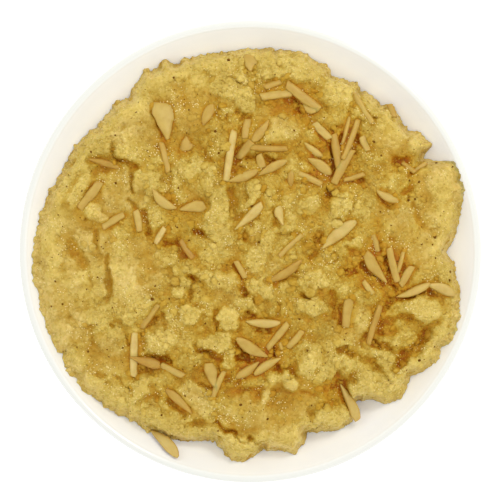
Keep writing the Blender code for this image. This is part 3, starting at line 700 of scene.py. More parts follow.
almond = {
    "sides": 14,
    "rings": (0, 0.025, 0.09, 0.2, 0.32, 0.44, 0.56, 0.68, 0.8, 0.91, 0.975, 1),
    "thickness": 2.3 * mm,
    "thicknessVaries": (0.85, 1.1),
    "sideBow": (0.02, 0.06),  # both bows against the length
    "upBow": (-0.01, 0.02),
    "slant": 0.4,  # of a cut end
    "taper": 0.16,
    "uneven": (4 * mm, 0.16),
    "roll": (0.05, 0.35),  # least and most turn round its own line, in radians
    "wideRoll": (4.9 * mm, 0.12),  # from this width on, the most turn is less
    "overhang": 3 * mm,  # above the dish where an end is past the heap's edge
    "steepest": 0.35,  # rise of one end over the other, against the length
    "probes": 9,  # places along a piece where the heap's height is taken
    "onTop": 0.6,  # from this lift on, a piece lies on other almonds
    "restsOn": 85,  # per cent of the places under such a piece that are lower than it
    "sunk": (0.26, 0.6),  # lift of any other piece: least, and how much of its own is added
    "settled": (0.6 * mm, 1.6 * mm),  # how far beside a piece the halwa is still moved, and how gradually
    "raised": 0.4,  # how much of the way the halwa is raised where it is below a piece
    "settledRun": 2.5 * mm,  # how far in from the outline the halwa is fully level with a piece
    "sharp": math.radians(66),
}

# each one: start x, y, end x, y, width, paleness from 0 to 1, and lift, how much of it is above the halwa
almondPieces = {
    "stick": (
        (-36.6, 44.5, -33.4, 32.2, 2.7, 0.4, 0.4), (-6.6, 49.3, -10, 28.6, 3.3, 0.85, 0.5),
        (-1, 54, -2.3, 46, 3.3, 0.5, 0.1), (4, 63, 17, 64.6, 3.6, 0.6, 0.35),
        (14.6, 68.4, 28.3, 58, 4.1, 0.42, 0.55), (0, 42.5, 15, 42, 2.7, 0.3, 0.2),
        (-5, 38, 0.5, 45, 4, 0.45, 0.1), (3.5, 39.5, 5, 34, 3.6, 0.5, 0.1),
        (26, 52.5, 32.5, 46, 3.6, 0.6, 0.2), (42.5, 64.5, 50, 52.5, 3, 0.6, 0.15),
        (45.5, 47, 48, 41, 3.2, 0.6, 0.15), (34, 48, 36.5, 33, 3.5, 0.3, 0.2),
        (40.5, 55, 37.6, 44, 1.8, 0.45, 0.1), (44, 54, 37.5, 37.5, 2.6, 0.35, 0.35),
        (41.5, 41.5, 34, 27.5, 3.8, 0.42, 0.35), (57.3, 60.6, 59, 55, 3, 0.45, 0.1),
        (-61.5, 28.5, -70, 17.5, 4, 0.5, 0.15), (-51.5, 15, -60.5, 9.8, 3.2, 0.55, 0.1),
        (-46.8, 16.8, -45.3, 8, 3.2, 0.6, 0.35), (-34.8, 9.8, -38.7, 3.2, 2.6, 0.95, 0.45),
        (-37.4, -21.6, -44.4, -31.4, 3, 0.4, 0.05), (11.5, -2, 21, 7, 2.4, 0.55, 0.2),
        (19.5, 32, 29, 27.4, 2.6, 0.55, 0.15), (-6, -3.8, -2, -10.8, 2.8, 0.5, 0.1),
        (50, 7, 52, 0, 2.6, 0.5, 0), (56.5, 1.5, 60, -12.5, 3.2, 0.5, 0.35),
        (62.5, 0, 60, -9, 1.9, 0.5, 0.1), (46, -12, 50, -17.5, 2.6, 0.6, 0.1),
        (53, -22, 48, -38, 2.8, 0.3, 0.25), (-47.2, -33, -47.8, -51.3, 3.4, 0.95, 0.35),
        (-36.7, -46, -27.2, -50.8, 3, 0.55, 0.2), (-10.6, -48.7, -15.5, -59.5, 2.6, 0.5, 0.15),
        (21.2, -32.2, 15.2, -39.2, 3, 0.5, 0.35), (12, -37, 13, -40, 1.6, 0.5, 0.1),
        (40.3, -19, 38.9, -31, 4.2, 0.45, 0.05), (66, -6, 61.2, -14, 3.4, 0.5, 0.15),
        (15.4, -29.2, 6.8, -39.6, 3, 0.5, 0.15), (5.5, 66.8, 12.5, 69.3, 2.8, 0.4, 0),
        (-28.6, 4.6, -23.4, -3, 2.8, 0.2, -0.1), (38, 29, 46.5, 31.6, 2.2, 0.4, 0),
        (62.4, 36.4, 67.6, 32.4, 2, 0.45, 0), (72, 36.6, 66.4, 32.6, 2.2, 0.45, 0),
    ),
    "leaf": (
        (-24, -66.2, -34.6, -56.4, 3.8, 0.35, 0.35), (-19.3, 51.5, -15.3, 60, 4.4, 0.38, 0.3),
        (-9, 28.6, 3, 33, 4.2, 0.45, 0.35), (3, 31, 15, 37, 3.6, 0.5, 0.15),
        (7.5, 53.5, 0.8, 44.8, 4, 0.45, 0.3), (22, 44.5, 29.5, 38.6, 3.2, 0.65, 0.3),
        (23.5, 38, 33, 31.5, 4.6, 0.55, 0.2), (29.3, 1.2, 43, 12.5, 5.2, 0.75, 0.3),
        (51.3, 25, 60.5, 20.4, 3.6, 0.65, 0.2), (6.8, -12.3, 21, -3.5, 4.2, 0.3, 0.1),
        (-2, -28.4, 12.2, -29, 3.8, 0.72, 0.5), (59.6, -18.6, 73.5, -13, 3.6, 0.6, 0.35),
        (72.3, -13.6, 84, -18, 4.6, 0.85, 0.35), (7, -43, -5.8, -35.4, 4.8, 0.5, 0.4),
        (3.5, -45, -6, -51.5, 3.8, 0.4, 0.4), (12.4, -43.4, 1.5, -50.3, 3.8, 0.6, 0.45),
        (-66.7, 38, -53.5, 34.2, 3, 0.25, 0.15), (16.5, 26.4, 16.8, 33.2, 3.2, 0.35, -0.05),
        (-41, -74, -29.8, -84.4, 4.9, 0.85, 0.5),
    ),
    # one side is straight and the other, on the right going from start to end, is arched
    "half": (
        (20.3, 60.4, 27.6, 56.8, 4.2, 0.55, 0.35), (-41, 24.2, -31.2, 16.4, 4, 0.6, 0.45),
    ),
    # the end is broad and cut straight
    "wedge": (
        (-33.8, 45.6, -36.6, 60.8, 9.4, 0.6, 0.2), (-26, 46.8, -26, 41, 5.8, 0.4, 0.1),
        (-28.7, 17, -18.4, 18.9, 5.4, 0.52, 0.3), (13, 10.6, 11, 18.3, 4.3, 0.85, 0.3),
        (-13.8, -56.5, -17, -45.5, 5.6, 0.5, 0.25), (0, 73.6, 0.2, 80.2, 6.4, 0.55, 0.05),
        (36.8, -54.4, 44.2, -69.4, 4.8, 0.75, 0.5), (55.6, -12.7, 46.8, -0.8, 5.4, 0.42, 0.4),
        (-49.5, -43.1, -37, -46.3, 4.4, 0.22, 0.75), (-6.5, 9, 4.8, 19.2, 4.4, 0.85, 0.3),
    ),
}


def lyingEnds(start, end, lift):
    shares = np.linspace(0, 1, almond["probes"])
    x, y = [(start[axis] + (end[axis] - start[axis]) * shares) * mm for axis in (0, 1)]
    heights, inward = coarseHeight(x, y)
    heights = np.maximum(heights, dishInside(np.hypot(x, y)) + almond["overhang"])
    slope, middle = np.polyfit(shares - 0.5, heights, 1)
    limit = almond["steepest"] * math.hypot(x[-1] - x[0], y[-1] - y[0])
    slope = min(max(slope, -limit), limit)
    if lift > almond["onTop"]:
        middle += float(np.percentile(heights - middle - slope * (shares - 0.5), almond["restsOn"]))
    middle += (lift - 0.5) * almond["thickness"]
    return Vector((x[0], y[0], middle - slope / 2)), Vector((x[-1], y[-1], middle + slope / 2))


almondLies = []
for kind, pieces in almondPieces.items():
    for x1, y1, x2, y2, width, pale, lift in pieces:
        if lift < almond["onTop"]:
            lift = almond["sunk"][0] + almond["sunk"][1] * lift
        almondLies.append((kind, *lyingEnds((x1, y1), (x2, y2), lift), width * mm, pale, lift))


def settle(x, y, z, inward):
    # the halwa is brought towards the level of each almond in it; also how near one each place is
    hold = np.zeros_like(z)
    beside, fade = almond["settled"]
    for kind, low, high, width, pale, lift in almondLies:
        if lift > almond["onTop"]:
            continue
        along = high - low
        share = ((x - low.x) * along.x + (y - low.y) * along.y) / along.xy.length_squared
        share = np.clip(share, 0, 1)
        away = np.hypot(x - low.x - along.x * share, y - low.y - along.y * share)
        weight = smoothStep((width * 0.5 + beside - away) / fade) * smoothStep(inward / almond["settledRun"])
        change = low.z + along.z * share + (0.5 - lift) * almond["thickness"] - z
        z = z + np.where(change > 0, almond["raised"], 1) * change * weight
        hold = np.maximum(hold, weight)
    return z, hold


# The heap itself

def squareToDisc(a, b):
    # a place in a square from -1 to 1 becomes a share of the radius and an angle
    wide = np.abs(a) > np.abs(b)
    safeA = np.where(a == 0, 1, a)
    safeB = np.where(b == 0, 1, b)
    angle = np.where(wide, math.pi / 4 * b / safeA + np.where(a > 0, 0, math.pi),
                     math.pi / 2 - math.pi / 4 * a / safeB + np.where(b > 0, 0, math.pi))
    return np.maximum(np.abs(a), np.abs(b)), angle


def roughShare(x, y):
    # 1 where the halwa is crumbly and lower where it was pressed smooth
    smooth = np.zeros_like(x)
    reach, fade, most = crumble["pressed"]
    for middleX, middleY, radius in pressed:
        away = np.hypot(x - middleX * mm, y - middleY * mm) / (radius * mm)
        smooth = np.maximum(smooth, smoothStep((reach - away) / fade))
    return 1 - most * smooth


def patches(places, size, contrast):
    # 1 in some patches and 0 in the others
    return smoothStep(0.55 + contrast * softNoise(places, size))


def fineRelief(places, rough, hold):
    # clumps, lumps and crumbs, fewer where the halwa was pressed and nearly none beside an almond
    size, reach = crumble["bend"]
    bend = np.stack([softNoise(places + shift, size) for shift in (0.1, 0.4, 0.8)], 1) * reach
    size, height = crumble["clump"]
    clump = softNoise(places, size, 3) * height
    size, height = crumble["lump"]
    border = cellNoise(places + bend, size)[1]
    breadth, sunk = crumble["seam"]
    lump = (smoothStep(border / breadth) - sunk) * height * patches(places + 0.3, *crumble["lumpPatch"])
    size, height = crumble["crumb"]
    near = cellNoise(places + bend * 0.7, size)[0]
    crumb = (0.5 - near) * height * patches(places, *crumble["crumbPatch"])
    size, height = crumble["grit"]
    near = cellNoise(places + bend * 0.3, size)[0]
    grit = (0.5 - near) * height
    left = crumble["pressedLeft"]
    free = 1 - (1 - crumble["besideAlmond"]) * hold
    return (clump * (left + (1 - left) * rough) + (lump + crumb) * rough + grit) * free


def blurred(grid, reach):
    for axis in (0, 1, 0, 1):
        grid = np.mean([np.roll(grid, step, axis) for step in range(-reach, reach + 1)], axis=0)
    return grid


# what the tone of the halwa is mixed from; much of it is painted light and shade
toneMarks = {
    # painted light on crests: how many grid steps a place is compared over, and how much higher a full crest
    # is
    "crests": {"crest": (3, 0.5 * mm), "broadCrest": (9, 1.6 * mm), "wideCrest": (20, 2.4 * mm)},
    "wideCrestRun": 9 * mm,
    "edge": (7 * mm, 3 * mm, 0.6),  # painted light on the heap's steep edge: how far in it goes, and size and strength of its unevenness
    "clump": (2.2 * mm, 2),  # painted light on clumps: height of a full clump, and grid steps of blur
    "pit": (2.2 * mm, 1.6 * mm),  # painted shade in pits: the depth where it begins, and how much deeper a full pit is
    "areaReach": 1.2,  # against each area's radius
}

# where the halwa is a smooth paste rather than loose: weight of each cause, and the size of its patches
paste = {
    "base": 0.35,
    "pressed": 0.6,
    "patches": 0.45,
    "broadCrest": -0.4,
    "size": 12 * mm,
}


def paintMarks(mesh, places, x, y, inward, rough):
    # crests, clumps and the edge are marked for painted light, pits for painted shade, then broad areas and
    # paste
    side = heap["cells"] + 1
    height = places[:, 2].reshape(side, side)
    for name, (steps, full) in toneMarks["crests"].items():
        crest = np.clip((height - blurred(height, steps)).ravel() / full, -1, 1)
        if name == "wideCrest":
            crest = crest * smoothStep(inward / toneMarks["wideCrestRun"])
        paint(mesh, name, crest)
    run, size, strength = toneMarks["edge"]
    paint(mesh, "edge", smoothStep(1 - inward / run) * (1 + strength * softNoise(places + 0.2, size, 3)))
    bentPlaces = bent(x, y)
    full, steps = toneMarks["clump"]
    raised = np.clip(clumpHeight(*bentPlaces) / full, 0, 1).reshape(side, side)
    paint(mesh, "clump", blurred(raised, steps).ravel())
    start, full = toneMarks["pit"]
    paint(mesh, "pit", smoothStep((pitDepth(*bentPlaces) - start) / full))
    shift = np.zeros_like(x)
    for middleX, middleY, radius, amount in paleAreas:
        away = np.hypot(x - middleX * mm, y - middleY * mm) / (radius * mm)
        shift += amount * smoothStep(toneMarks["areaReach"] - away)
    paint(mesh, "area", shift)
    smooth = paste["base"] + paste["pressed"] * (1 - rough)
    smooth += paste["patches"] * softNoise(places + 0.6, paste["size"], 3)
    paint(mesh, "paste", smoothStep(smooth + paste["broadCrest"] * painted(mesh, "broadCrest")))


def closeUnderside(mesh):
    # the outline is drawn in along the dish and closed with a face
    bm = bmesh.new()
    bm.from_mesh(mesh)
    border = [edge for edge in bm.edges if edge.is_boundary]
    for share in heap["underside"]:
        ring = bmesh.ops.extrude_edge_only(bm, edges=border)["geom"]
        for vert in [item for item in ring if isinstance(item, bmesh.types.BMVert)]:
            flatPlace = Vector((vert.co.x, vert.co.y)).normalized() * meanRadius * share
            vert.co = (flatPlace.x, flatPlace.y, dishInside(flatPlace.length) + heap["gap"])
        border = [item for item in ring if isinstance(item, bmesh.types.BMEdge) and item.is_boundary]
    bmesh.ops.contextual_create(bm, geom=border)
    bmesh.ops.recalc_face_normals(bm, faces=bm.faces)
    if bm.calc_volume(signed=True) < 0:
        bmesh.ops.reverse_faces(bm, faces=bm.faces)
    bm.to_mesh(mesh)
    bm.free()
    mesh.shade_smooth()
    mesh.set_sharp_from_angle(angle=heap["sharp"])


def makeHeap():
    bm = bmesh.new()
    bmesh.ops.create_grid(bm, x_segments=heap["cells"], y_segments=heap["cells"], size=1)
    mesh = meshFrom("halwaHeap", bm)
    flat = placesOf(mesh)
    share, angle = squareToDisc(flat[:, 0], flat[:, 1])
    radius = share * (meanRadius + (edgeRadius(angle) - meanRadius) * share ** heap["outlinePower"])
    x, y = radius * np.cos(angle), radius * np.sin(angle)
    z, inward = coarseHeight(x, y)
    z, hold = settle(x, y, z, inward)
    movePlaces(mesh, np.stack([x, y, z], 1))

    # crumbs stand out along the surface, so that the steep edge gets them too
    places, normals = placesOf(mesh), normalsOf(mesh)
    rough = roughShare(x, y)
    detail = fineRelief(places, rough, hold) * smoothStep(inward / heap["fineRun"])
    places += normals * detail[:, None]
    movePlaces(mesh, places)
    paintMarks(mesh, places, x, y, inward, rough)
    closeUnderside(mesh)
    return newObject("halwaHeap", mesh)


halwaHeap = makeHeap()
print("stage: halwa heap", len(halwaHeap.data.polygons))


def nearEnd(share):
    # 1 at an end and 0 from a little way in
    return max(1 - min(share, 1 - share) / 0.03, 0)


def almondWidth(kind, share):
    # width along a piece, against its greatest
    if kind == "leaf":
        return math.sin(math.pi * min(max(share, 0.02), 0.985) ** 1.3) ** 0.48
    if kind == "half":
        return math.sin(math.pi * min(max(share, 0.02), 0.98)) ** 0.6
    if kind == "wedge":
        return 0.14 + 0.86 * min(share / 0.7, 1) ** 0.85 - 0.42 * (max(share - 0.7, 0) / 0.3) ** 2
    return 1 - 0.2 * nearEnd(share) - 0.3 * abs(share - 0.5)


def almondPiece(kind, low, high, width, draw):
    bm = bmesh.new()
    bmesh.ops.create_cone(bm, cap_ends=True, segments=almond["sides"], radius1=0.5, radius2=0.5, depth=1)
    longEdges = [edge for edge in bm.edges if abs(edge.verts[0].co.z - edge.verts[1].co.z) > 0.5]
    rings = almond["rings"]
    bmesh.ops.subdivide_edges(bm, edges=longEdges, cuts=len(rings) - 2, use_grid_fill=True)
    length = (high - low).length
    thick = almond["thickness"] * draw.uniform(*almond["thicknessVaries"])
    sideBow = draw.uniform(*almond["sideBow"]) * draw.choice((-1, 1)) * length
    sideBow *= 1 if kind == "leaf" else 0.4
    if kind == "half":
        sideBow = abs(sideBow) * 0.4
    upBow = draw.uniform(*almond["upBow"]) * length
    slants = [draw.uniform(-almond["slant"], almond["slant"]) for end in (0, 1)]
    taper = draw.uniform(-almond["taper"], almond["taper"])
    seed = Vector((draw.uniform(0, 50), 0, 0))
    grain, strength = almond["uneven"]
    square = 0.7 if kind == "stick" else 0.8
    for vert in bm.verts:
        share = rings[round((vert.co.z + 0.5) * (len(rings) - 1))]
        uneven = 1 + strength * noise.noise(seed + Vector((vert.co.x, vert.co.y, share * length / grain)))
        broad = almondWidth(kind, share) * width * uneven * (1 + taper * (share - 0.5))
        turn = math.atan2(vert.co.y, vert.co.x)
        across = math.copysign(abs(math.cos(turn)) ** square, math.cos(turn)) * 0.5
        upward = math.copysign(abs(math.sin(turn)) ** square, math.sin(turn)) * 0.5
        arch = 4 * share * (1 - share)
        thinning = min(1, 0.55 + 2.2 * min(share, 1 - share)) if kind in ("leaf", "half") else 1
        shift = (width - broad) / 2 if kind == "half" else 0
        slant = slants[round(share)] * across * broad if kind != "leaf" else 0
        vert.co.x = across * broad + shift + sideBow * arch
        vert.co.y = upward * thick * (1 - 0.3 * nearEnd(share)) * thinning * uneven + upBow * arch
        vert.co.z = (share - 0.5) * length + slant
    along = (high - low).normalized()
    side = Vector((0, 0, 1)).cross(along).normalized()
    up = along.cross(side)
    least, most = almond["roll"]
    wide, wideMost = almond["wideRoll"]
    if width > wide:
        most = wideMost
    roll = Matrix.Rotation(draw.uniform(least, most) * draw.choice((-1, 1)), 4, "Z")
    lying = Matrix((side, up, along)).transposed().to_4x4()
    bm.transform(Matrix.Translation((low + high) / 2) @ lying @ roll)
    return bm


almondLook = {
    # paleness and colour there
    "tones": [(0.0, (0.37, 0.165, 0.011)), (0.25, (0.455, 0.278, 0.038)), (0.55, (0.525, 0.368, 0.083)),
              (0.9, (0.605, 0.46, 0.155))],
    "cloud": 3.5 * mm,
    "cloudTones": [(0.3, (0.86, 0.80, 0.62)), (0.6, (1, 1, 1))],
    "fibre": 0.6 * mm,
    "fibreDepth": 0.08 * mm,
    "side": 0.3,  # painted shade: paleness left on an upright side
    "deep": 0.45,  # and where no sky reaches, painted shade too
    "streak": (14 * mm, 0.12),
}


def makeAlmondSkin():
    material, tree, shader = newMaterial("blanchedAlmond")
    place = objectPlace(tree)
    tone = ramp(tree, attributeValue(tree, "pale"), almondLook["tones"])
    cloud = ramp(tree, softPattern(tree, place, almondLook["cloud"]), almondLook["cloudTones"])
    fibre = softPattern(tree, place, almondLook["fibre"], 2)
    feed(tree, shader, {
        "Base Color": mixColour(tree, "MULTIPLY", 0.8, tone, cloud),
        "Normal": bumpNormal(tree, fibre, 0.35, almondLook["fibreDepth"]),
        "Roughness": 0.45,
        "Specular IOR Level": 0.35,
        "Subsurface Weight": 0.5,
        "Subsurface Radius": (1.0, 0.6, 0.2),
        "Subsurface Scale": 1.8 * mm,
    })
    return material


def makeAlmonds():
    draw = random.Random(11)
    whole = bmesh.new()
    paleness = whole.verts.layers.float.new("pale")
    for kind, low, high, width, pale, lift in almondLies:
        start = len(whole.verts)
        whole.from_mesh(meshFrom("almondPiece", almondPiece(kind, low, high, width, draw)))
        whole.verts.ensure_lookup_table()
        for vert in whole.verts[start:]:
            vert[paleness] = pale
    bmesh.ops.recalc_face_normals(whole, faces=whole.faces)
    made = newObject("almondSlivers", meshFrom("almondSlivers", whole))
    made.data.set_sharp_from_angle(angle=almond["sharp"])
    made.data.materials.append(makeAlmondSkin())
    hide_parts("halwa")
    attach(made, "root")
    return made


almonds = makeAlmonds()
print("stage: almonds", len(almonds.data.polygons))


# Tone of each place on the halwa, painted light and shade: deep and covered places, which see less sky, get
# painted shade, darker and more orange; crests get painted light, paler

toneRules = {
    "reach": 9 * mm,
    "rays": ((0.0, 1), (0.55, 6), (1.05, 8)),  # angle from straight up, and how many rays round it
    "rayStart": 0.08 * mm,
    "blur": 2,
    # weight of the sky share, which paints shade where the sky is hidden
    "sky": 0.73,
    # marks: painted light on crests and clumps, painted shade in pits, and broad paler or more amber areas
    "marks": {"crest": 0.08, "broadCrest": 0.15, "wideCrest": 0.12, "clump": 0.1, "pit": -0.3, "area": 1},
    # painted light at the heap's steep edge
    "edge": 0.85,
}


def treeOf(*objects):
    # one search tree over several meshes
    corners, faces = [], []
    for item in objects:
        start = len(corners)
        corners += [vert.co.copy() for vert in item.data.vertices]
        faces += [[start + index for index in face.vertices] for face in item.data.polygons]
    return BVHTree.FromPolygons(corners, faces)


heapTree = treeOf(halwaHeap)
wholeTree = treeOf(halwaHeap, almonds)


def skyShare(places, normals):
    # how much of the sky each place sees past what stands near it
    directions = []
    for lean, count in toneRules["rays"]:
        level = math.sin(lean)
        for step in range(count):
            turn = math.tau * (step + lean) / count
            directions.append(Vector((level * math.cos(turn), level * math.sin(turn), math.cos(lean))))
    weights = [direction.z for direction in directions]
    shares = []
    for place, normal in zip(places, normals):
        start = Vector(place) + Vector(normal) * toneRules["rayStart"]
        free = 0
        for direction, weight in zip(directions, weights):
            if wholeTree.ray_cast(start, direction, toneRules["reach"])[0] is None:
                free += weight
        shares.append(free)
    return np.array(shares) / sum(weights)


def paintTone(mesh):
    # painted shade from the sky share, then the marks' painted light and shade, then painted light at the
    # edge
    tones = skyShare(placesOf(mesh), normalsOf(mesh)) * toneRules["sky"]
    side = heap["cells"] + 1
    tones[:side * side] = blurred(tones[:side * side].reshape(side, side), toneRules["blur"]).ravel()
    for name, weight in toneRules["marks"].items():
        tones += painted(mesh, name) * weight
    tones = np.clip(np.minimum(tones, 1) + painted(mesh, "edge") * toneRules["edge"], 0, 1)
    paint(mesh, "tone", tones)
    return tones


def paintAlmonds(mesh):
    # painted shade: the sides and what lies deep, where less sky reaches, are darker and more amber; random
    # streaks are added
    places, normals = placesOf(mesh), normalsOf(mesh)
    side, deep = almondLook["side"], almondLook["deep"]
    size, strength = almondLook["streak"]
    facing = side + (1 - side) * np.clip(normals[:, 2], 0, 1) ** 1.5
    sky = deep + (1 - deep) * skyShare(places, normals)
    values = painted(mesh, "pale") * facing * sky + strength * softNoise(normals + places / size, 0.5, 2)
    mesh.attributes["pale"].data.foreach_set("value", np.clip(values, 0, 1).astype(np.float32))


heapTones = paintTone(halwaHeap.data)
heapPaste = painted(halwaHeap.data, "paste")
paintAlmonds(almonds.data)
print("stage: tones")


# Halwa materials

semolina = {
    # tone and colour there: the dark orange low tones are painted shade, the pale high ones painted light
    "tones": [(0.05, (0.345, 0.105, 0.002)), (0.30, (0.425, 0.188, 0.005)), (0.55, (0.462, 0.263, 0.017)),
              (0.80, (0.515, 0.342, 0.047)), (0.93, (0.572, 0.412, 0.083)), (1.0, (0.635, 0.467, 0.106))],
    "wander": (4.5 * mm, 0.14),  # the tone wanders by this before it picks the colour
    # broad patches that are paler or more amber
    "patch": 11 * mm,
    "patchTones": [(0.34, (0.87, 0.84, 0.72)), (0.52, (1, 1, 1)), (0.68, (1.03, 1.05, 1.13))],
    # pressed paste is rosier and paler in blue light than the loose clumps
    "hues": [(0.2, (1, 1, 1.05)), (0.5, (1, 1, 1.08)), (0.85, (1, 0.99, 1.2))],
    # single grains, lighter and darker
    "grain": 0.9 * mm,
    "grainTones": [(0.0, (0.80, 0.75, 0.55)), (0.35, (1, 1, 1)), (0.8, (1.02, 1.03, 1.1)),
                   (1.0, (1.14, 1.19, 1.5))],
    "grainStrength": 0.8,
    # bran too small to model
    "bran": (0.24, 0.10, 0.012, 1),
    "branSize": 1.6 * mm,
    "branRange": (0.72, 0.78, 0, 0.8),
    "wetSize": 1.1 * mm,
    "roughness": (0.34, 0.62),  # where it is wet and where it is dry
    "relief": 1.9 * mm,
}


def makeSemolinaGroup():
    inputs = {"Tone": 0.8, "Paste": 0.5, "Grain Scale": 1 / semolina["grain"]}
    outputs = {"Color": "NodeSocketColor", "Rough": "NodeSocketFloat", "Height": "NodeSocketFloat"}
    group, given, out = newGroup("semolinaTone", inputs, outputs)
    place = objectPlace(group)
    size, reach = semolina["wander"]
    wandered = mapRange(group, softPattern(group, place, size, 5, 0.6), 0.25, 0.75, -reach, reach)
    total = addNode(group, "Math", {0: given.outputs["Tone"], 1: wandered}, operation="ADD").outputs[0]
    colour = ramp(group, total, semolina["tones"])
    patch = ramp(group, softPattern(group, place, semolina["patch"]), semolina["patchTones"])
    colour = mixColour(group, "MULTIPLY", 1, colour, patch)
    colour = mixColour(group, "MULTIPLY", 1, colour, ramp(group, given.outputs["Paste"], semolina["hues"]))
    grain = addNode(group, "TexVoronoi", {"Vector": place, "Scale": given.outputs["Grain Scale"]})
    grey = addNode(group, "SeparateColor", {"Color": grain.outputs["Color"]}).outputs["Red"]
    grainTone = ramp(group, grey, semolina["grainTones"])
    colour = mixColour(group, "MULTIPLY", semolina["grainStrength"], colour, grainTone)
    bran = mapRange(group, softPattern(group, place, semolina["branSize"], 2), *semolina["branRange"])
    wet = softPattern(group, place, semolina["wetSize"], 2)
    feed(group, out, {
        "Color": mixColour(group, "MIX", bran, colour, semolina["bran"]),
        "Rough": mapRange(group, wet, 0.35, 0.65, *semolina["roughness"]),
        "Height": softPattern(group, place, semolina["relief"], 5, 0.62),
    })
    return group


semolinaGroup = makeSemolinaGroup()


def makeSemolina(name, bumpDepth, softness):
    material, tree, shader = newMaterial(name)
    given = {"Tone": attributeValue(tree, "tone"), "Paste": attributeValue(tree, "paste")}
    look = addNode(tree, "Group", {}, node_tree=semolinaGroup)
    feed(tree, look, given)
    feed(tree, shader, {
        "Base Color": look.outputs["Color"],
        "Roughness": look.outputs["Rough"],
        "Normal": bumpNormal(tree, look.outputs["Height"], 0.9, bumpDepth),
        "Specular IOR Level": 0.14,
        "Subsurface Weight": softness,
        "Subsurface Radius": (1.0, 0.7, 0.3),
        "Subsurface Scale": 1.4 * mm,
    })
    return material


moistSemolina = makeSemolina("moistSemolina", 0.6 * mm, 0.5)
looseSemolina = makeSemolina("looseSemolina", 0.3 * mm, 0)


def finishHalwa(made, material):
    made.data.materials.append(material)
    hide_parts("halwa")
    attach(made, "root")


finishHalwa(halwaHeap, moistSemolina)
print("stage: halwa material")


# Loose crumbs and grains, bran specks and moist glints

scatter = {
    # name: how many, least, usual and greatest size, and how far each is sunk
    "halwaCrumbs": (750, 1.4 * mm, 2.0 * mm, 4.4 * mm, 0.68),
    "semolinaGranules": (9000, 0.7 * mm, 0.9 * mm, 1.6 * mm, 0.6),
    "semolinaGrains": (8000, 0.4 * mm, 0.55 * mm, 0.85 * mm, 0.5),
    "branSpecks": (300, 0.35 * mm, 0.5 * mm, 0.85 * mm, 0.35),
    "moistGlints": (2700, 0.28 * mm, 0.4 * mm, 0.75 * mm, 0.35),
}
spotRules = {
    "reach": 90.5 * mm,  # from the dish's axis
    "above": 100 * mm,  # where the rays down to the heap start
    "covered": 0.2 * mm,  # an almond this much above the heap hides it
    "tries": 20,  # for each grain that is wanted
    "steepest": 0.25,  # least upward part of the slope's normal
    "slopeExtra": 0.2,  # added to that part it gives the chance of a grain there
    "clusters": (9 * mm, 0.1, 1.6),  # of glints: size, base and contrast
    "lengths": (0.75, 1.2),  # of one grain, against its size
    "widths": (0.75, 1.1),
    "branScale": 1.2,
    "knobs": (0.45, 0.3),  # size and depth of a crumb's knobs, against its size
    # a grain's tone is shifted at random and kept above darkest, which limits the painted shade it takes
    # from the heap
    "darker": 0.12,
    "darkest": 0.45,
}

# the larger bran specks: x, y and size in millimetres
branPlaces = (
    (65, 29, 1), (69, 28.5, 1), (64.7, 20.9, 1), (67.3, 21.4, 0.9), (75.5, 6, 1.4), (82, -8.4, 1.1),
    (81.7, -11.8, 1.1), (53, 16.2, 0.9), (76.6, 36.4, 1.2), (50.3, 44.8, 1.2), (-14.3, 49, 1.4),
    (-13, 40.1, 1), (-38.8, -14, 0.8), (-40, -19.5, 1.4), (-26.7, -59, 0.9), (-4, -62.6, 1.2),
    (7, -68.5, 0.9), (23.2, -40.4, 1), (19.9, -27.6, 1), (69.2, -44.6, 1.2), (-36.4, -67, 1.1),
    (-31.5, 71.1, 1), (-9, 78.6, 1.3), (-65.2, 40.8, 1.1), (-81.6, -22.7, 0.9), (0.6, 18.6, 1),
    (3.5, 3.7, 0.9), (4.4, 7, 0.8), (-25, 4.5, 0.9), (-29.8, 9.8, 0.8), (-29.4, 25.9, 0.9),
    (-18.5, -29.3, 0.9), (3.3, -20.2, 0.9), (-77, -21.6, 0.9), (-62.5, 4.4, 0.9), (-62.5, -10.6, 0.8),
    (-67, -15.5, 0.7), (-55.2, 28, 0.9), (-66.5, -41, 0.9), (-71, -39.3, 0.8), (-57.8, -43, 0.9),
    (-55.3, 47.6, 0.8), (-53.5, 36.5, 0.7), (43.4, 69.9, 0.8), (38.3, -36, 0.7), (53.4, 39.2, 0.8),
    (-23, -46.8, 0.7), (-27.2, 69.9, 0.8), (-11.2, 76.2, 0.8), (-25.2, 57.8, 0.8), (17.8, 49.3, 0.9),
    (-38.2, 43, 0.8), (70, 3, 0.7), (74.5, 2.8, 0.7), (75.8, -2.7, 0.8), (25.5, 6, 0.7), (-80, -12.2, 0.7),
    (-56.3, -23, 0.8), (-4.6, -33.6, 0.6), (-62.8, -30, 0.6), (53.3, -58.6, 0.8), (75.5, -39.2, 0.8),
    (-20, -73.3, 0.8), (-13.3, -73.4, 0.8), (25, -63, 0.7), (27.3, -72.6, 0.8), (-74.6, 31.5, 0.7),
    (-75.3, 26.6, 0.7), (-69, 24.8, 0.7),
)


def heapHit(x, y):
    # place, slope and nearest vertex of the heap under a point, all None past its edge or under an almond
    start, down = Vector((x, y, spotRules["above"])), Vector((0, 0, -1))
    place, normal, index, distance = heapTree.ray_cast(start, down)
    if place is None or wholeTree.ray_cast(start, down)[3] < distance - spotRules["covered"]:
        return None, None, None
    return place, normal, halwaHeap.data.polygons[index].vertices[0]


def surfaceSpots(count, draw, suits=None):
    # place, slope and vertex at random places on the heap, more often where suits(x, y) is near 1
    spots = []
    for attempt in range(count * spotRules["tries"]):
        if len(spots) == count:
            break
        radius, turn = spotRules["reach"] * math.sqrt(draw.random()), draw.uniform(0, math.tau)
        x, y = radius * math.cos(turn), radius * math.sin(turn)
        if suits is not None and draw.random() > suits(x, y):
            continue
        place, normal, index = heapHit(x, y)
        if place is None or normal.z <= spotRules["steepest"]:
            continue
        if draw.random() < normal.z + spotRules["slopeExtra"]:
            spots.append((place, normal, index))
    return spots


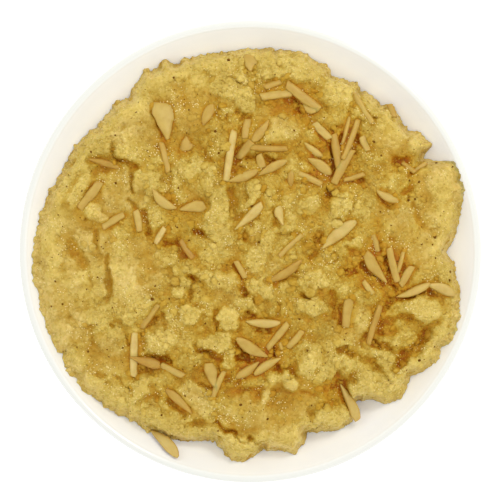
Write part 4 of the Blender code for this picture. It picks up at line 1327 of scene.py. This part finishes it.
def roughAt(x, y):
    return float(roughShare(np.array([x]), np.array([y]))[0])


def clusterAt(x, y):
    size, base, contrast = spotRules["clusters"]
    return float(smoothStep(base + contrast * noise.fractal(Vector((x, y, 0)) / size, 1.0, 2.0, 2)))


def spotMatrices(spots, sizes, sunk, draw, flatten):
    matrices = []
    for (place, normal, index), size in zip(spots, sizes):
        spin = Matrix.Rotation(draw.uniform(0, math.tau), 4, "Z")
        turn = normal.to_track_quat("Z", "Y").to_matrix().to_4x4() @ spin
        long, wide = size * draw.uniform(*spotRules["lengths"]), size * draw.uniform(*spotRules["widths"])
        stretch = Matrix.Diagonal((long, wide, size * flatten, 1))
        matrices.append(Matrix.Translation(place + normal * size * (0.5 - sunk) * flatten) @ turn @ stretch)
    return np.array([[list(row) for row in matrix] for matrix in matrices])


def scatterMesh(name, seed, suits=None, subdivisions=1, flatten=0.75, extra=(), paler=0.2):
    # joined grains on the heap, with the tone and paste under each one, so each grain takes the heap's
    # painted light and shade there
    draw = random.Random(seed)
    count, least, usual, greatest, sunk = scatter[name]
    spots = surfaceSpots(count, draw, suits)
    sizes = [draw.triangular(least, greatest, usual) for spot in spots]
    for x, y, size in extra:
        spot = heapHit(x * mm, y * mm)
        if spot[0] is not None:
            spots.append(spot)
            sizes.append(size * spotRules["branScale"] * mm)
    matrices = spotMatrices(spots, sizes, sunk, draw, flatten)
    grain = bmesh.new()
    bmesh.ops.create_icosphere(grain, subdivisions=subdivisions, radius=0.5)
    mesh, corners = joinCopies(name, grain, matrices)
    under = [index for place, normal, index in spots]
    shifts = [draw.uniform(-spotRules["darker"], paler) for spot in spots]
    paint(mesh, "tone", np.repeat(np.maximum(heapTones[under] + shifts, spotRules["darkest"]), corners))
    paint(mesh, "paste", np.repeat(heapPaste[under], corners))
    return mesh, np.repeat(sizes, corners)


def makeCrumbs():
    mesh, sizes = scatterMesh("halwaCrumbs", 3, roughAt, 2, 0.7, paler=0)
    places = placesOf(mesh)
    size, depth = spotRules["knobs"]
    knobs = [noise.fractal(Vector(place), 1.0, 2.0, 2) for place in places / (sizes * size)[:, None]]
    movePlaces(mesh, places + normalsOf(mesh) * (np.array(knobs) * sizes * depth)[:, None])
    finishHalwa(newObject("halwaCrumbs", mesh), looseSemolina)


def makeGrains():
    for name, seed, suits in (("semolinaGranules", 5, roughAt), ("semolinaGrains", 6, None)):
        finishHalwa(newObject(name, scatterMesh(name, seed, suits)[0]), looseSemolina)


def makeSpecks():
    material, tree, shader = newMaterial("darkBran")
    feed(tree, shader, {
        "Base Color": (0.16, 0.065, 0.008, 1),
        "Roughness": 0.85,
        "Specular IOR Level": 0.03,
    })
    mesh = scatterMesh("branSpecks", 8, None, 1, 0.5, branPlaces)[0]
    finishHalwa(newObject("branSpecks", mesh), material)


def makeGlints():
    # painted highlights: pale, glossy grains whose colour stands in for glints of light on the moist halwa
    material, tree, shader = newMaterial("moistGlint")
    feed(tree, shader, {"Base Color": (0.83, 0.68, 0.29, 1), "Roughness": 0.1})
    finishHalwa(newObject("moistGlints", scatterMesh("moistGlints", 21, clusterAt)[0]), material)


makeCrumbs()
makeGrains()
makeSpecks()
makeGlints()
print("stage: crumbs, grains, specks and glints")
